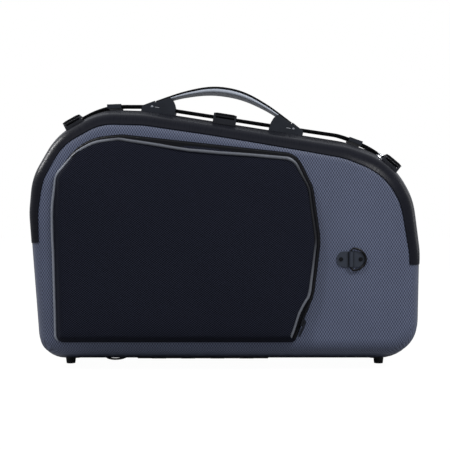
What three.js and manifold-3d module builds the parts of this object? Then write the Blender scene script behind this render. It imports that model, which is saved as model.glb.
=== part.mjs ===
import * as THREE from 'three';
import Module from 'manifold-3d';
import { mergeVertices } from 'three/addons/utils/BufferGeometryUtils.js';

// Lengths are in millimetres. X runs along the case, Y from the lid to the back, Z up.
// The seam between the two shells is the plane Y = 0 until the whole case is centred at the end.

const wasm = await Module();
wasm.setup();

const BIG = 5000;
const HALF = 0.5;
const TURN = Math.PI * 2;
const QUARTER = Math.PI / 2;
// Corners closer than this share one point.
const weldReach = 1e-4;

// Gaps
const gap = 0.3;
const seamHalfGap = 1.3;

// Shell outline and walls
const shellWidth = 580;
const shellHeight = 367;
const footClearance = 10.5;
const wall = 3.5;
const lidDepth = 75;
const lidShoulder = 26;
const lidDraft = 0.227;
const baseDepth = 105;
const baseShoulder = 30;
const baseDraft = 0.122;
const leastCornerRadius = 2;
const cornerStep = 0.17;
const shoulderSteps = 6;
const innerShoulderSteps = 3;

// Corner position and radius, as shares of the shell's width and height.
// The corners run clockwise from the bottom left.
const shellCornerShares = [
  [-0.472, 0, 0.067],
  [-0.501, 0.589, 0.237],
  [-0.493, 0.731, 0.165],
  [-0.43, 0.903, 0.173],
  [-0.315, 1.0045, 0.168],
  [-0.196, 0.9985, 0.232],
  [0.307, 0.873, 0.208],
  [0.425, 0.806, 0.202],
  [0.483, 0.643, 0.183],
  [0.5, 0.432, 0.235],
  [0.494, 0, 0.098],
];

// Edge bands
const bandThickness = 1.2;
const bandRimMargin = 3;
const bandSteps = 6;
const bandFirstCornerIndex = 0;
const bandFirstShare = 0.8;
const bandLastCornerIndex = 9;
const bandLastShare = 0.08;
// Share of the band's length, then how far over the shoulder its inner edge lies.
const lidBandShares = [
  [0, 0.66],
  [0.1, 0.78],
  [0.35, 0.76],
  [0.5, 0.72],
  [0.68, 0.77],
  [0.78, 0.84],
  [0.9, 0.86],
  [1, 0.77],
];
const baseBandShares = [
  [0, 0.6],
  [1, 0.6],
];

// Seam gasket and tongue
const gasketProud = 0.6;
const gasketHalfThickness = 0.95;
const tongueThickness = 2;
const tongueReach = 6;
const tongueClearance = 0.6;
const tongueSeatDepth = 6;

// Hinge
const hingeCentreX = -32.5;
const hingeHalfLength = 97.5;
const hingeRadius = 1.9;
const hingePinRadius = 0.8;
const hingeKnuckles = 9;
const hingeLeafStart = 2.6;
const hingeLeafWidth = 8;
const hingeLeafThickness = 1;
const hingeSides = 12;

// Linings
const liningSetback = 7.5;
const hornRecessDepth = 80;
const bellRecessDepth = 64;
const lidHornRecessDepth = 66;
const lidBellRecessDepth = 64;
const recessFlare = 8;
// Centre and radius as shares of the shell's width, and height as a share of its height.
const hornRecessShares = { x: -0.2017, z: 0.4809, round: 0.2431 };
const bellRecessShares = { x: 0.2207, z: 0.4183, round: 0.1931 };
const recessSides = 28;

// Feet
const footXShare = 0.4;
const footX = footXShare * shellWidth;
const footFrontY = 12.5;
const footRearY = 66;
const footTopRadius = 8;
const footBottomRadius = 6.6;
const footBlankHeight = 26;
const footScrewRecessRadius = 3.6;
const footScrewRecess = 4;
const footScrewRadius = 3.1;
const footScrewHeight = 1.8;
const footSides = 16;

// Handle, in the frame of the sloping top edge
const handleCentreShare = -0.0078;
const handleCentreX = handleCentreShare * shellWidth;
const handleCentreY = 25;
const handleHalfSpan = 104;
const handleRise = 45.6;
const handleBaseHeight = 9.5;
const handleEndWidth = 30;
const handleGripWidth = 42;
const handleStrapThickness = 2.6;
const handleGripThickness = 6;
const handleGripEndThickness = 1.4;
const handleSteps = 24;
const handleGripHalfSpan = 84;
// Share of the half span, then share of the rise.
const handleArchShares = [
  [0, 1],
  [0.192, 0.969],
  [0.385, 0.864],
  [0.616, 0.664],
  [0.808, 0.45],
  [1, 0.213],
];

// Handle brackets
const bracketLength = 51;
const bracketStartShare = 0.6923;
const bracketStart = bracketStartShare * handleHalfSpan;
const bracketWidth = 32;
const bracketBlankDrop = 9;
// Share of the bracket's length from its inner end, then height as a share of that length.
const bracketOutlineShares = [
  [0, 0.16],
  [0.024, 0.28],
  [0.075, 0.4],
  [0.14, 0.475],
  [0.215, 0.512],
  [0.42, 0.41],
  [0.625, 0.3],
  [0.64, 0.343],
  [1, 0.14],
];
const bracketRivetHeadRadius = 2;
const bracketRivetHeadHeight = 0.8;
const bracketRivetShankRadius = 1.2;
const bracketRivetShankLength = 1.6;
const bracketRivetShare = 0.7;
const bracketSlotShare = 0.55;
const bracketSlotLength = 8;
const bracketSlotHeight = 2.4;
const bracketSlotDepth = 1.2;
const bracketMarkHeight = 9.8;

// Top strap and its hardware
const strapWidth = 26;
const strapThickness = 3;
const strapLeftShare = -0.365;
const strapRightShare = 0.3914;
const strapLeftX = strapLeftShare * shellWidth;
const strapRightX = strapRightShare * shellWidth;
const strapSteps = 44;
const strapCentreY = 25;
// Share of the strap's run, then its height over the outline as a share of the full height.
const strapHeight = 10.6;
const strapHeightShares = [
  [0, 0.66],
  [0.06, 0.72],
  [0.12, 0.9],
  [0.2, 1],
  [0.62, 1.03],
  [0.86, 1.12],
  [0.94, 0.88],
  [1, 0.7],
];
const sliderLength = 21;
const sliderWidth = 31.5;
const sliderThickness = 6.2;
const sliderMouth = 4;
const sliderLeftShare = -0.2869;
const sliderRightShare = 0.3345;
const sliderLeftX = sliderLeftShare * shellWidth;
const sliderRightX = sliderRightShare * shellWidth;
const ringWire = 1.5;
const ringLength = 11;
const ringWidth = 25.6;
const ringCorner = 3;
const ringSides = 8;
const ringCornerSteps = 3;
const anchorLength = 6;
const anchorWidth = 17;
const anchorTop = 3.2;
const anchorDrop = 12;

// Draw latches
const latchSideWidth = 28;
const latchMiddleWidth = 34;
const latchSideRise = 0;
const latchMiddleRise = 4;
const latchLeftShare = -0.3828;
const latchMiddleShare = -0.001;
const latchRightShare = 0.4206;
const latchLeftX = latchLeftShare * shellWidth;
const latchMiddleX = latchMiddleShare * shellWidth;
const latchRightX = latchRightShare * shellWidth;
const latchBaseFront = 27;
const latchBaseBack = 5;
const latchBaseTop = 0.2;
const latchBaseDrop = 14;
const latchEarThickness = 3;
const latchEarRadius = 1.9;
const latchPivotDepth = 23;
const latchPivotHeight = 3.8;
const latchPinRadius = 1.1;
const latchLeverThickness = 2;
const latchLeverFront = 25.2;
const latchLeverBack = 5;
const latchLeverLift = 2.4;
const latchLeverChamfer = 5;
const latchLipLength = 3.2;
const latchLipRise = 1;
const latchHubRadius = 2.2;
const latchClawPivotDepth = 13;
const latchClawWidth = 15;
const latchClawThickness = 1.6;
const latchClawReach = 10.2;
const latchHookLength = 2;
const latchHookDrop = 2.7;
const latchClawPinRadius = 0.9;
const latchClawHubRadius = 1.7;
const latchKeeperFront = 2.6;
const latchKeeperBack = 6.8;
const latchKeeperWidth = 20;
const latchKeeperTop = 2.7;
const latchKeeperDrop = 10;
const latchSides = 10;
const latchEarSides = 12;

// Ring fittings on the front and under the base
const fittingLength = 39;
const fittingHeight = 21.8;
const fittingThickness = 1.6;
const fittingEndRadius = 9.5;
const fittingBarrelRadius = 3.2;
const fittingBarrelLift = 0.5;
const fittingBoreRadius = 1.85;
const fittingSides = 12;
const fittingScrewOffset = 13.8;
const fittingScrewRadius = 2.8;
const fittingScrewCrownShare = 0.8;
const fittingEndSteps = 4;
const fittingScrewHeight = 1.1;
const fittingScrewSlotWidth = 0.8;
const fittingScrewSlotLength = 3.8;
const fittingScrewSlotDepth = 0.6;
const fittingRingWire = 1.5;
const fittingRingHeight = 31;
const fittingRingReach = 21;
const fittingRingSteps = 12;
const frontFittingShares = { x: 0.3062, z: 0.4068 };
const frontFittingX = frontFittingShares.x * shellWidth;
const frontFittingZ = footClearance + frontFittingShares.z * shellHeight;
const underFittingShare = -0.2828;
const underFittingX = underFittingShare * shellWidth;
const underFittingY = 25.5;

// Pocket on the lid
const pocketShares = { across: 0.6569, up: 0.7956, x: -0.4241, z: 0.0896 };
const pocketWidth = pocketShares.across * shellWidth;
const pocketHeight = pocketShares.up * shellHeight;
const pocketLeft = pocketShares.x * shellWidth;
const pocketBottom = footClearance + pocketShares.z * shellHeight;
// Corner position as shares of the pocket's width and height, and radius as a share of its width.
const pocketCornerShares = [
  [0.027, 0, 0.026],
  [0.015, 0.612, 0.2],
  [0.022, 0.808, 0.073],
  [0.125, 0.981, 0.19],
  [0.265, 1, 0.16],
  [0.91, 0.908, 0.075],
  [0.972, 0.747, 0.14],
  [1, 0.49, 0.2],
  [0.975, 0.226, 0.2],
  [0.903, 0, 0.02],
];
const pocketRise = 22;
const pocketCornerStep = 0.3;
// Height over the lid as a share of the rise, then inset from the outline as a share of the rise.
const pocketProfileShares = [
  [0.014, 0],
  [0.18, 0],
  [0.73, 0.3],
  [0.87, 0.55],
  [0.97, 2],
];
const zipThickness = 1.2;
const zipFromShare = 0.14;
const zipToShare = 0.86;
const zipFirstCornerIndex = 3;
const zipLastCornerIndex = 9;
const pipingRadius = 1.4;
const pipingSides = 6;
const zipSliderLength = 9;
const zipSliderWidth = 8;
const zipSliderHeight = 3;
const zipSliderCornerIndex = 8;
const zipSliderEdgeShare = 0.55;
const zipPullLength = 20;
const zipPullWidth = 6;
const zipPullThickness = 1.4;
const zipPullEyeRadius = 1.6;
const zipPostRadius = 1.1;
const zipPostHeight = 2.6;

// Materials

function material(colour, roughness, metalness) {
  return new THREE.MeshStandardMaterial({ color: colour, roughness, metalness });
}

const shellGrey = () => material(0x4a5062, 0.45, 0.05);
const glossBlack = () => material(0x1c1d23, 0.12, 0);
const rubberBlack = () => material(0x16181b, 0.7, 0);
const fabricBlack = () => material(0x1a1c27, 0.95, 0);
const pipingGrey = () => material(0x555a66, 0.6, 0);
const webbingBlack = () => material(0x0e0e11, 0.9, 0);
const gripGrey = () => material(0x9198a4, 0.55, 0);
const bracketBlack = () => material(0x2c2e36, 0.45, 0);
const latchBlack = () => material(0x1b1c20, 0.35, 0.1);
const latchGrey = () => material(0x4b4d58, 0.4, 0.3);
const steel = () => material(0xb4b8bd, 0.25, 1);
const blackSteel = () => material(0x202226, 0.4, 0.9);
const plush = () => material(0x23262f, 1, 0);

// Solids and booleans

function facetVolume(geometry) {
  const position = geometry.attributes.position;
  const index = geometry.index;
  const a = new THREE.Vector3();
  const b = new THREE.Vector3();
  const c = new THREE.Vector3();
  let volume = 0;
  for (let i = 0; i < index.count; i += 3) {
    a.fromBufferAttribute(position, index.getX(i));
    b.fromBufferAttribute(position, index.getX(i + 1));
    c.fromBufferAttribute(position, index.getX(i + 2));
    volume += a.dot(b.cross(c));
  }
  return volume;
}

function outward(geometry) {
  if (facetVolume(geometry) < 0) {
    const index = geometry.index;
    for (let i = 0; i < index.count; i += 3) {
      const second = index.getX(i + 1);
      index.setX(i + 1, index.getX(i + 2));
      index.setX(i + 2, second);
    }
  }
  return geometry;
}

function toManifold(geometry) {
  const bare = new THREE.BufferGeometry();
  bare.setAttribute('position', geometry.attributes.position.clone());
  if (geometry.index) {
    bare.setIndex(geometry.index.clone());
  }
  const merged = mergeVertices(bare, weldReach);
  const mesh = new wasm.Mesh({
    numProp: 3,
    vertProperties: Float32Array.from(merged.attributes.position.array),
    triVerts: Uint32Array.from(merged.index.array),
  });
  return new wasm.Manifold(mesh);
}

function fromManifold(body) {
  const mesh = body.getMesh();
  const geometry = new THREE.BufferGeometry();
  geometry.setAttribute('position', new THREE.BufferAttribute(mesh.vertProperties, 3));
  geometry.setIndex(new THREE.BufferAttribute(mesh.triVerts, 1));
  return geometry;
}

function join(...geometries) {
  return fromManifold(geometries.map(toManifold).reduce((sum, next) => sum.add(next)));
}

function cut(geometry, ...tools) {
  const body = tools.map(toManifold).reduce((left, tool) => left.subtract(tool), toManifold(geometry));
  return fromManifold(body);
}

function piece(name, geometry, paint) {
  const mesh = new THREE.Mesh(geometry, paint);
  mesh.name = name;
  geometry.computeVertexNormals();
  return mesh;
}

function place(parent, mesh, frame, tool) {
  mesh.applyMatrix4(frame);
  if (tool) {
    const local = tool.clone().applyMatrix4(frame.clone().invert());
    mesh.geometry = cut(mesh.geometry, local);
    mesh.geometry.computeVertexNormals();
  }
  parent.add(mesh);
  return mesh;
}

function box(xLow, xHigh, yLow, yHigh, zLow, zHigh) {
  const geometry = new THREE.BoxGeometry(xHigh - xLow, yHigh - yLow, zHigh - zLow);
  geometry.translate((xLow + xHigh) * HALF, (yLow + yHigh) * HALF, (zLow + zHigh) * HALF);
  return geometry;
}

function rod(radius, from, to, sides) {
  const axis = to.clone().sub(from);
  const geometry = new THREE.CylinderGeometry(radius, radius, axis.length(), sides);
  const turn = new THREE.Quaternion().setFromUnitVectors(
    new THREE.Vector3(0, 1, 0),
    axis.clone().normalize(),
  );
  geometry.applyQuaternion(turn);
  geometry.translate(...from.clone().add(to).multiplyScalar(HALF).toArray());
  return geometry;
}

// Lofts rings of equal length into one closed body, joined end to end or capped at both ends.
// A thin ring lists one side and then the other side backwards, so its cap is a strip.
function loft(rings, closed, thin = false) {
  const size = rings[0].length;
  const positions = rings.flat().flatMap((point) => point.toArray());
  const index = [];
  const spans = closed ? rings.length : rings.length - 1;
  for (let r = 0; r < spans; r += 1) {
    const next = ((r + 1) % rings.length) * size;
    for (let i = 0; i < size; i += 1) {
      const j = (i + 1) % size;
      index.push(r * size + i, r * size + j, next + i);
      index.push(r * size + j, next + j, next + i);
    }
  }
  if (!closed) {
    for (const r of [0, rings.length - 1]) {
      if (thin) {
        for (let i = 0; i < size * HALF - 1; i += 1) {
          const quad = [i, i + 1, size - 2 - i, size - 1 - i].map((spot) => r * size + spot);
          const [a, b, c, d] = r === 0 ? quad.reverse() : quad;
          index.push(a, b, c, a, c, d);
        }
        continue;
      }
      const middle = new THREE.Vector3();
      rings[r].forEach((point) => middle.add(point));
      middle.divideScalar(size);
      const centre = positions.length / 3;
      positions.push(...middle.toArray());
      for (let i = 0; i < size; i += 1) {
        const j = (i + 1) % size;
        const a = r * size + i;
        const b = r * size + j;
        index.push(centre, r === 0 ? b : a, r === 0 ? a : b);
      }
    }
  }
  const geometry = new THREE.BufferGeometry();
  geometry.setAttribute('position', new THREE.Float32BufferAttribute(positions, 3));
  geometry.setIndex(index);
  return outward(geometry);
}

function mix(from, to, share) {
  return from + (to - from) * share;
}

function tableAt(shares, at) {
  const last = shares.length - 1;
  for (let i = 0; i < last; i += 1) {
    const [low, lowValue] = shares[i];
    const [high, highValue] = shares[i + 1];
    if (at <= high) {
      return mix(lowValue, highValue, (at - low) / (high - low));
    }
  }
  return shares[last][1];
}

// Rounded outlines, kept as stations that hold at every inset

function roundedOutline(corners, step, extras) {
  const count = corners.length;
  const turns = corners.map(([x, z, radius], i) => {
    const [beforeX, beforeZ] = corners[(i + count - 1) % count];
    const [afterX, afterZ] = corners[(i + 1) % count];
    const back = new THREE.Vector2(beforeX - x, beforeZ - z).normalize();
    const on = new THREE.Vector2(afterX - x, afterZ - z).normalize();
    const half = Math.acos(back.dot(on)) * HALF;
    const inward = back.clone().add(on).normalize();
    const sweep = Math.PI - half * 2;
    return { x, z, radius, half, inward, sweep };
  });
  const stations = [];
  turns.forEach((turn, corner) => {
    const steps = Math.max(2, Math.ceil(turn.sweep / step));
    for (let i = 0; i <= steps; i += 1) {
      stations.push({ corner, share: i / steps });
    }
    extras.filter(([edge]) => edge === corner).forEach(([edge, share]) => {
      stations.push({ edge, share });
    });
  });
  return { turns, stations };
}

function cornerPoint(turn, share, inset) {
  const radius = Math.max(turn.radius - inset, leastCornerRadius);
  const reach = (inset + radius) / Math.sin(turn.half);
  const normalAngle = Math.atan2(-turn.inward.y, -turn.inward.x) + (HALF - share) * turn.sweep;
  const normal = new THREE.Vector2(Math.cos(normalAngle), Math.sin(normalAngle));
  const point = new THREE.Vector2(turn.x, turn.z)
    .addScaledVector(turn.inward, reach)
    .addScaledVector(normal, radius);
  return { point, normal };
}

function stationAt(outline, station, inset) {
  if (station.edge === undefined) {
    return cornerPoint(outline.turns[station.corner], station.share, inset);
  }
  const from = cornerPoint(outline.turns[station.edge], 1, inset);
  const to = cornerPoint(outline.turns[(station.edge + 1) % outline.turns.length], 0, inset);
  return { point: from.point.clone().lerp(to.point, station.share), normal: from.normal };
}

const shellCorners = shellCornerShares.map(([x, z, radius]) => [
  x * shellWidth,
  footClearance + z * shellHeight,
  radius * shellWidth,
]);
const shellOutline = roundedOutline(shellCorners, cornerStep, [
  [bandFirstCornerIndex, bandFirstShare],
  [bandLastCornerIndex, bandLastShare],
]);

function outlineRing(outline, inset, depth) {
  return outline.stations.map((station) => {
    const { point } = stationAt(outline, station, inset);
    return new THREE.Vector3(point.x, depth, point.y);
  });
}

// Shell section: depth from the seam and inset from the outline, moved inward by an offset

const lidForm = { side: -1, depth: lidDepth, shoulder: lidShoulder, draft: lidDraft };
const baseForm = { side: 1, depth: baseDepth, shoulder: baseShoulder, draft: baseDraft };

function shoulderCentre(form) {
  const depth = form.depth - form.shoulder;
  const rise = (depth + form.shoulder * Math.sin(form.draft) - seamHalfGap) * Math.tan(form.draft);
  return { depth, inset: rise + form.shoulder * Math.cos(form.draft) };
}

function wallInset(form, offset, depth) {
  return (depth - seamHalfGap) * Math.tan(form.draft) + offset / Math.cos(form.draft);
}

function shoulderPoint(form, offset, angle) {
  const centre = shoulderCentre(form);
  const radius = form.shoulder - offset;
  return {
    depth: centre.depth + radius * Math.sin(angle),
    inset: centre.inset - radius * Math.cos(angle),
  };
}

function section(form, offset, rimDepth, steps) {
  const points = [{ depth: rimDepth, inset: wallInset(form, offset, rimDepth) }];
  for (let i = 0; i <= steps; i += 1) {
    points.push(shoulderPoint(form, offset, mix(form.draft, QUARTER, i / steps)));
  }
  return points;
}

function sectionRings(form, points) {
  return points.map(({ depth, inset }) => outlineRing(shellOutline, inset, form.side * depth));
}

function shellBlank(form, offset, rimDepth, steps) {
  return loft(sectionRings(form, section(form, offset, rimDepth, steps)), false);
}

function shellGeometry(form) {
  const outer = section(form, 0, seamHalfGap, shoulderSteps).reverse();
  const inner = section(form, wall, seamHalfGap, innerShoulderSteps);
  return loft(sectionRings(form, [...outer, ...inner]), false);
}

function bandGeometry(form, shares) {
  const { stations } = shellOutline;
  const first = stations.findIndex((station) => station.edge === bandFirstCornerIndex);
  const last = stations.findIndex((station) => station.edge === bandLastCornerIndex);
  const run = stations.slice(first, last + 1);
  const spots = run.map((station) => stationAt(shellOutline, station, 0).point);
  const lengths = [0];
  for (let i = 1; i < spots.length; i += 1) {
    lengths.push(lengths[i - 1] + spots[i].distanceTo(spots[i - 1]));
  }
  const centre = shoulderCentre(form);
  const rings = run.map((station, i) => {
    const reach = tableAt(shares, lengths[i] / lengths[lengths.length - 1]) * centre.inset;
    const end = Math.acos((centre.inset - reach) / form.shoulder);
    const layer = (offset) => {
      const rim = seamHalfGap + bandRimMargin;
      const points = [{ depth: rim, inset: wallInset(form, offset, rim) }];
      for (let k = 0; k <= bandSteps; k += 1) {
        points.push(shoulderPoint(form, offset, mix(form.draft, end, k / bandSteps)));
      }
      return points;
    };
    const loop = [...layer(-gap), ...layer(-gap - bandThickness).reverse()];
    return loop.map(({ depth, inset }) => {
      const { point } = stationAt(shellOutline, station, inset);
      return new THREE.Vector3(point.x, form.side * depth, point.y);
    });
  });
  return loft(rings, false, true);
}

function seamLoop(insetOut, insetIn, front, back) {
  return loft([
    outlineRing(shellOutline, insetOut, front),
    outlineRing(shellOutline, insetOut, back),
    outlineRing(shellOutline, insetIn, back),
    outlineRing(shellOutline, insetIn, front),
  ], true);
}

// Frames on the outline: X along it, Y towards the back, Z outward

function crestFrame(x) {
  const top = shellOutline.stations.map((station) => stationAt(shellOutline, station, 0).point);
  const leftmost = top.reduce((best, point, i) => (point.x < top[best].x ? i : best), 0);
  for (let i = leftmost; i < top.length - 1; i += 1) {
    const from = top[i];
    const to = top[i + 1];
    if (from.x <= x && x <= to.x) {
      const angle = Math.atan2(to.y - from.y, to.x - from.x);
      const z = mix(from.y, to.y, (x - from.x) / (to.x - from.x));
      return new THREE.Matrix4().makeRotationY(-angle).setPosition(x, 0, z);
    }
  }
  throw new Error('no crest there');
}

const bandTop = gap + bandThickness;
const lidSeat = shellBlank(lidForm, -bandTop - gap, 0, shoulderSteps);
const baseSeat = shellBlank(baseForm, -bandTop - gap, 0, shoulderSteps);
const baseSkin = shellBlank(baseForm, -gap, 0, shoulderSteps);
const topSeat = join(lidSeat, baseSeat);

const caseBase = new THREE.Group();
caseBase.name = 'base_group';
const caseLid = new THREE.Group();
caseLid.name = 'lid_group';
const still = new THREE.Matrix4();

// Shells, bands, gasket and tongue

function hingeNotch() {
  const reach = hingeRadius + gap;
  return box(
    hingeCentreX - hingeHalfLength - gap,
    hingeCentreX + hingeHalfLength + gap,
    -reach,
    reach,
    footClearance - BIG * HALF,
    footClearance + reach,
  );
}

function addShells() {
  const notch = hingeNotch();
  place(caseBase, piece('base_shell', cut(shellGeometry(baseForm), notch), shellGrey()), still);
  place(caseLid, piece('lid_shell', cut(shellGeometry(lidForm), notch), shellGrey()), still);
  place(caseBase, piece('base_band', bandGeometry(baseForm, baseBandShares), glossBlack()), still);
  place(caseLid, piece('lid_band', bandGeometry(lidForm, lidBandShares), glossBlack()), still);
  const gasket = seamLoop(-gasketProud, wall, -gasketHalfThickness, gasketHalfThickness);
  place(caseBase, piece('seam_gasket', cut(gasket, notch), rubberBlack()), still);
  const seat = seamHalfGap + tongueSeatDepth;
  const outer = wallInset(baseForm, wall, seat) + tongueClearance;
  const tongue = seamLoop(outer, outer + tongueThickness, -tongueReach, tongueSeatDepth);
  place(caseBase, piece('rim_tongue', tongue, blackSteel()), still);
}

// Hinge

function knuckleSpan(i) {
  const pitch = (hingeHalfLength * 2) / hingeKnuckles;
  const start = -hingeHalfLength + i * pitch;
  return [start + gap * HALF, start + pitch - gap * HALF];
}

function hingeLeaf(form, firstKnuckle) {
  const top = -(gap + hingeRadius * HALF) * HALF;
  const plate = box(
    -hingeHalfLength,
    hingeHalfLength,
    hingeLeafStart,
    hingeLeafStart + hingeLeafWidth,
    -hingeLeafThickness - gap,
    -gap,
  );
  plate.rotateX(form.draft);
  if (form.side < 0) {
    plate.rotateZ(Math.PI);
  }
  let leaf = plate;
  for (let i = firstKnuckle; i < hingeKnuckles; i += 2) {
    const [from, to] = knuckleSpan(i);
    const start = new THREE.Vector3(from, 0, 0);
    const end = new THREE.Vector3(to, 0, 0);
    const bridgeEnd = form.side * (hingeLeafStart + hingeLeafThickness);
    const bridge = box(
      from,
      to,
      Math.min(0, bridgeEnd),
      Math.max(0, bridgeEnd),
      top - hingeLeafThickness,
      top,
    );
    leaf = join(leaf, rod(hingeRadius, start, end, hingeSides), bridge);
  }
  const reach = new THREE.Vector3(BIG, 0, 0);
  return cut(leaf, rod(hingePinRadius + gap, reach.clone().negate(), reach, hingeSides));
}

function addHinge() {
  const frame = new THREE.Matrix4().setPosition(hingeCentreX, 0, footClearance);
  place(caseLid, piece('lid_hinge_leaf', hingeLeaf(lidForm, 1), blackSteel()), frame);
  place(caseBase, piece('base_hinge_leaf', hingeLeaf(baseForm, 0), blackSteel()), frame);
  const end = new THREE.Vector3(hingeHalfLength, 0, 0);
  const pin = rod(hingePinRadius, end.clone().negate(), end, hingeSides);
  place(caseBase, piece('hinge_pin', pin, steel()), frame);
}

// Linings

function recess(form, shares, depth) {
  const radius = shares.round * shellWidth;
  const taper = recessFlare / (depth - liningSetback);
  const mouth = liningSetback * HALF;
  const wide = radius + recessFlare + taper * (liningSetback - mouth);
  const geometry = new THREE.CylinderGeometry(wide, radius, depth - mouth, recessSides);
  if (form.side > 0) {
    geometry.rotateX(Math.PI);
  }
  geometry.translate(
    shares.x * shellWidth,
    form.side * (depth + mouth) * HALF,
    footClearance + shares.z * shellHeight,
  );
  return geometry;
}

function lining(form, hornDepth, bellDepth) {
  const block = shellBlank(form, wall + gap, liningSetback, innerShoulderSteps);
  return cut(
    block,
    recess(form, hornRecessShares, hornDepth),
    recess(form, bellRecessShares, bellDepth),
  );
}

function addLinings() {
  const base = lining(baseForm, hornRecessDepth, bellRecessDepth);
  const lid = lining(lidForm, lidHornRecessDepth, lidBellRecessDepth);
  place(caseBase, piece('base_lining', base, plush()), still);
  place(caseLid, piece('lid_lining', lid, plush()), still);
}

// Feet

function footGeometry() {
  const profile = [
    [0, footScrewRecess],
    [footScrewRecessRadius, footScrewRecess],
    [footScrewRecessRadius, 0],
    [footBottomRadius, 0],
    [footTopRadius, footClearance],
    [footTopRadius, footBlankHeight],
    [0, footBlankHeight],
  ].map(([radius, height]) => new THREE.Vector2(radius, height));
  return new THREE.LatheGeometry(profile, footSides).rotateX(QUARTER);
}

function footScrewGeometry() {
  const top = footScrewRecess - gap;
  const head = new THREE.CylinderGeometry(footScrewRadius, footScrewRadius, footScrewHeight, latchSides);
  head.rotateX(QUARTER);
  head.translate(0, 0, top - footScrewHeight * HALF);
  return head;
}

function addFeet() {
  const spots = [
    ['front_left', -footX, footFrontY],
    ['front_right', footX, footFrontY],
    ['rear_left', -footX, footRearY],
    ['rear_right', footX, footRearY],
  ];
  spots.forEach(([label, x, y]) => {
    const frame = new THREE.Matrix4().setPosition(x, y, 0);
    place(caseBase, piece(`foot_${label}`, footGeometry(), rubberBlack()), frame, baseSkin);
    place(caseBase, piece(`foot_screw_${label}`, footScrewGeometry(), steel()), frame);
  });
}

// Handle: a top strap over a grip, swept along one arch

function archCurve() {
  const half = handleArchShares.map(([along, up]) => new THREE.Vector2(
    along * handleHalfSpan,
    handleBaseHeight + up * handleRise,
  ));
  const mirrored = half.slice(1).reverse().map((point) => new THREE.Vector2(-point.x, point.y));
  const knots = [...mirrored, ...half].map((point) => new THREE.Vector3(point.x, 0, point.y));
  return new THREE.CatmullRomCurve3(knots);
}

function archSpot(curve, share) {
  const point = curve.getPointAt(share);
  const along = curve.getTangentAt(share);
  const up = new THREE.Vector3(-along.z, 0, along.x);
  return { point, up };
}

function archWidth(point, grow) {
  const share = Math.min(1, Math.abs(point.x) / handleGripHalfSpan);
  const swell = Math.cos(share * QUARTER) ** 2;
  return mix(handleEndWidth, handleGripWidth, swell) + grow * 2;
}

function archSolid(topDrop, thickness, spanShare, grow) {
  const curve = archCurve();
  const rings = [];
  for (let i = 0; i <= handleSteps; i += 1) {
    const share = mix(HALF - spanShare * HALF, HALF + spanShare * HALF, i / handleSteps);
    const { point, up } = archSpot(curve, share);
    const half = archWidth(point, grow) * HALF;
    const swell = Math.cos(Math.min(1, Math.abs(point.x) / handleGripHalfSpan) * QUARTER);
    const deep = mix(thickness[0], thickness[1], swell) + grow * 2;
    const top = topDrop - grow;
    const bevel = deep * HALF * HALF;
    const outline = [
      [-half, top],
      [half, top],
      [half, top + deep - bevel],
      [half - bevel, top + deep],
      [-half + bevel, top + deep],
      [-half, top + deep - bevel],
    ];
    rings.push(outline.map(([y, down]) => point.clone()
      .addScaledVector(up, -down)
      .add(new THREE.Vector3(0, y, 0))));
  }
  return loft(rings, false);
}

function gripSpanShare() {
  return handleGripHalfSpan / handleHalfSpan;
}

function bracketGeometry(sign) {
  const inner = bracketStart;
  const top = bracketOutlineShares.map(([along, up]) => [
    sign * (inner + along * bracketLength),
    bandTop + up * bracketLength,
  ]);
  const shape = new THREE.Shape([
    new THREE.Vector2(sign * inner, -bracketBlankDrop),
    ...top.map(([u, v]) => new THREE.Vector2(u, v)),
    new THREE.Vector2(sign * (inner + bracketLength), -bracketBlankDrop),
  ]);
  const geometry = new THREE.ExtrudeGeometry(shape, { depth: bracketWidth, bevelEnabled: false });
  geometry.rotateX(QUARTER);
  geometry.translate(0, handleCentreY + bracketWidth * HALF, 0);
  return outward(mergeVertices(stripped(geometry), weldReach));
}

function stripped(geometry) {
  const bare = new THREE.BufferGeometry();
  bare.setAttribute('position', geometry.attributes.position.clone());
  if (geometry.index) {
    bare.setIndex(geometry.index.clone());
  }
  return bare;
}

function bracketFrontY() {
  return handleCentreY - bracketWidth * HALF;
}

function rivetGeometry() {
  const profile = [
    [0, -bracketRivetHeadHeight],
    [bracketRivetHeadRadius * HALF, -bracketRivetHeadHeight],
    [bracketRivetHeadRadius, 0],
    [bracketRivetShankRadius, 0],
    [bracketRivetShankRadius, bracketRivetShankLength],
    [0, bracketRivetShankLength],
  ].map(([radius, depth]) => new THREE.Vector2(radius, depth));
  return outward(mergeVertices(stripped(new THREE.LatheGeometry(profile, latchSides)), weldReach));
}

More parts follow.
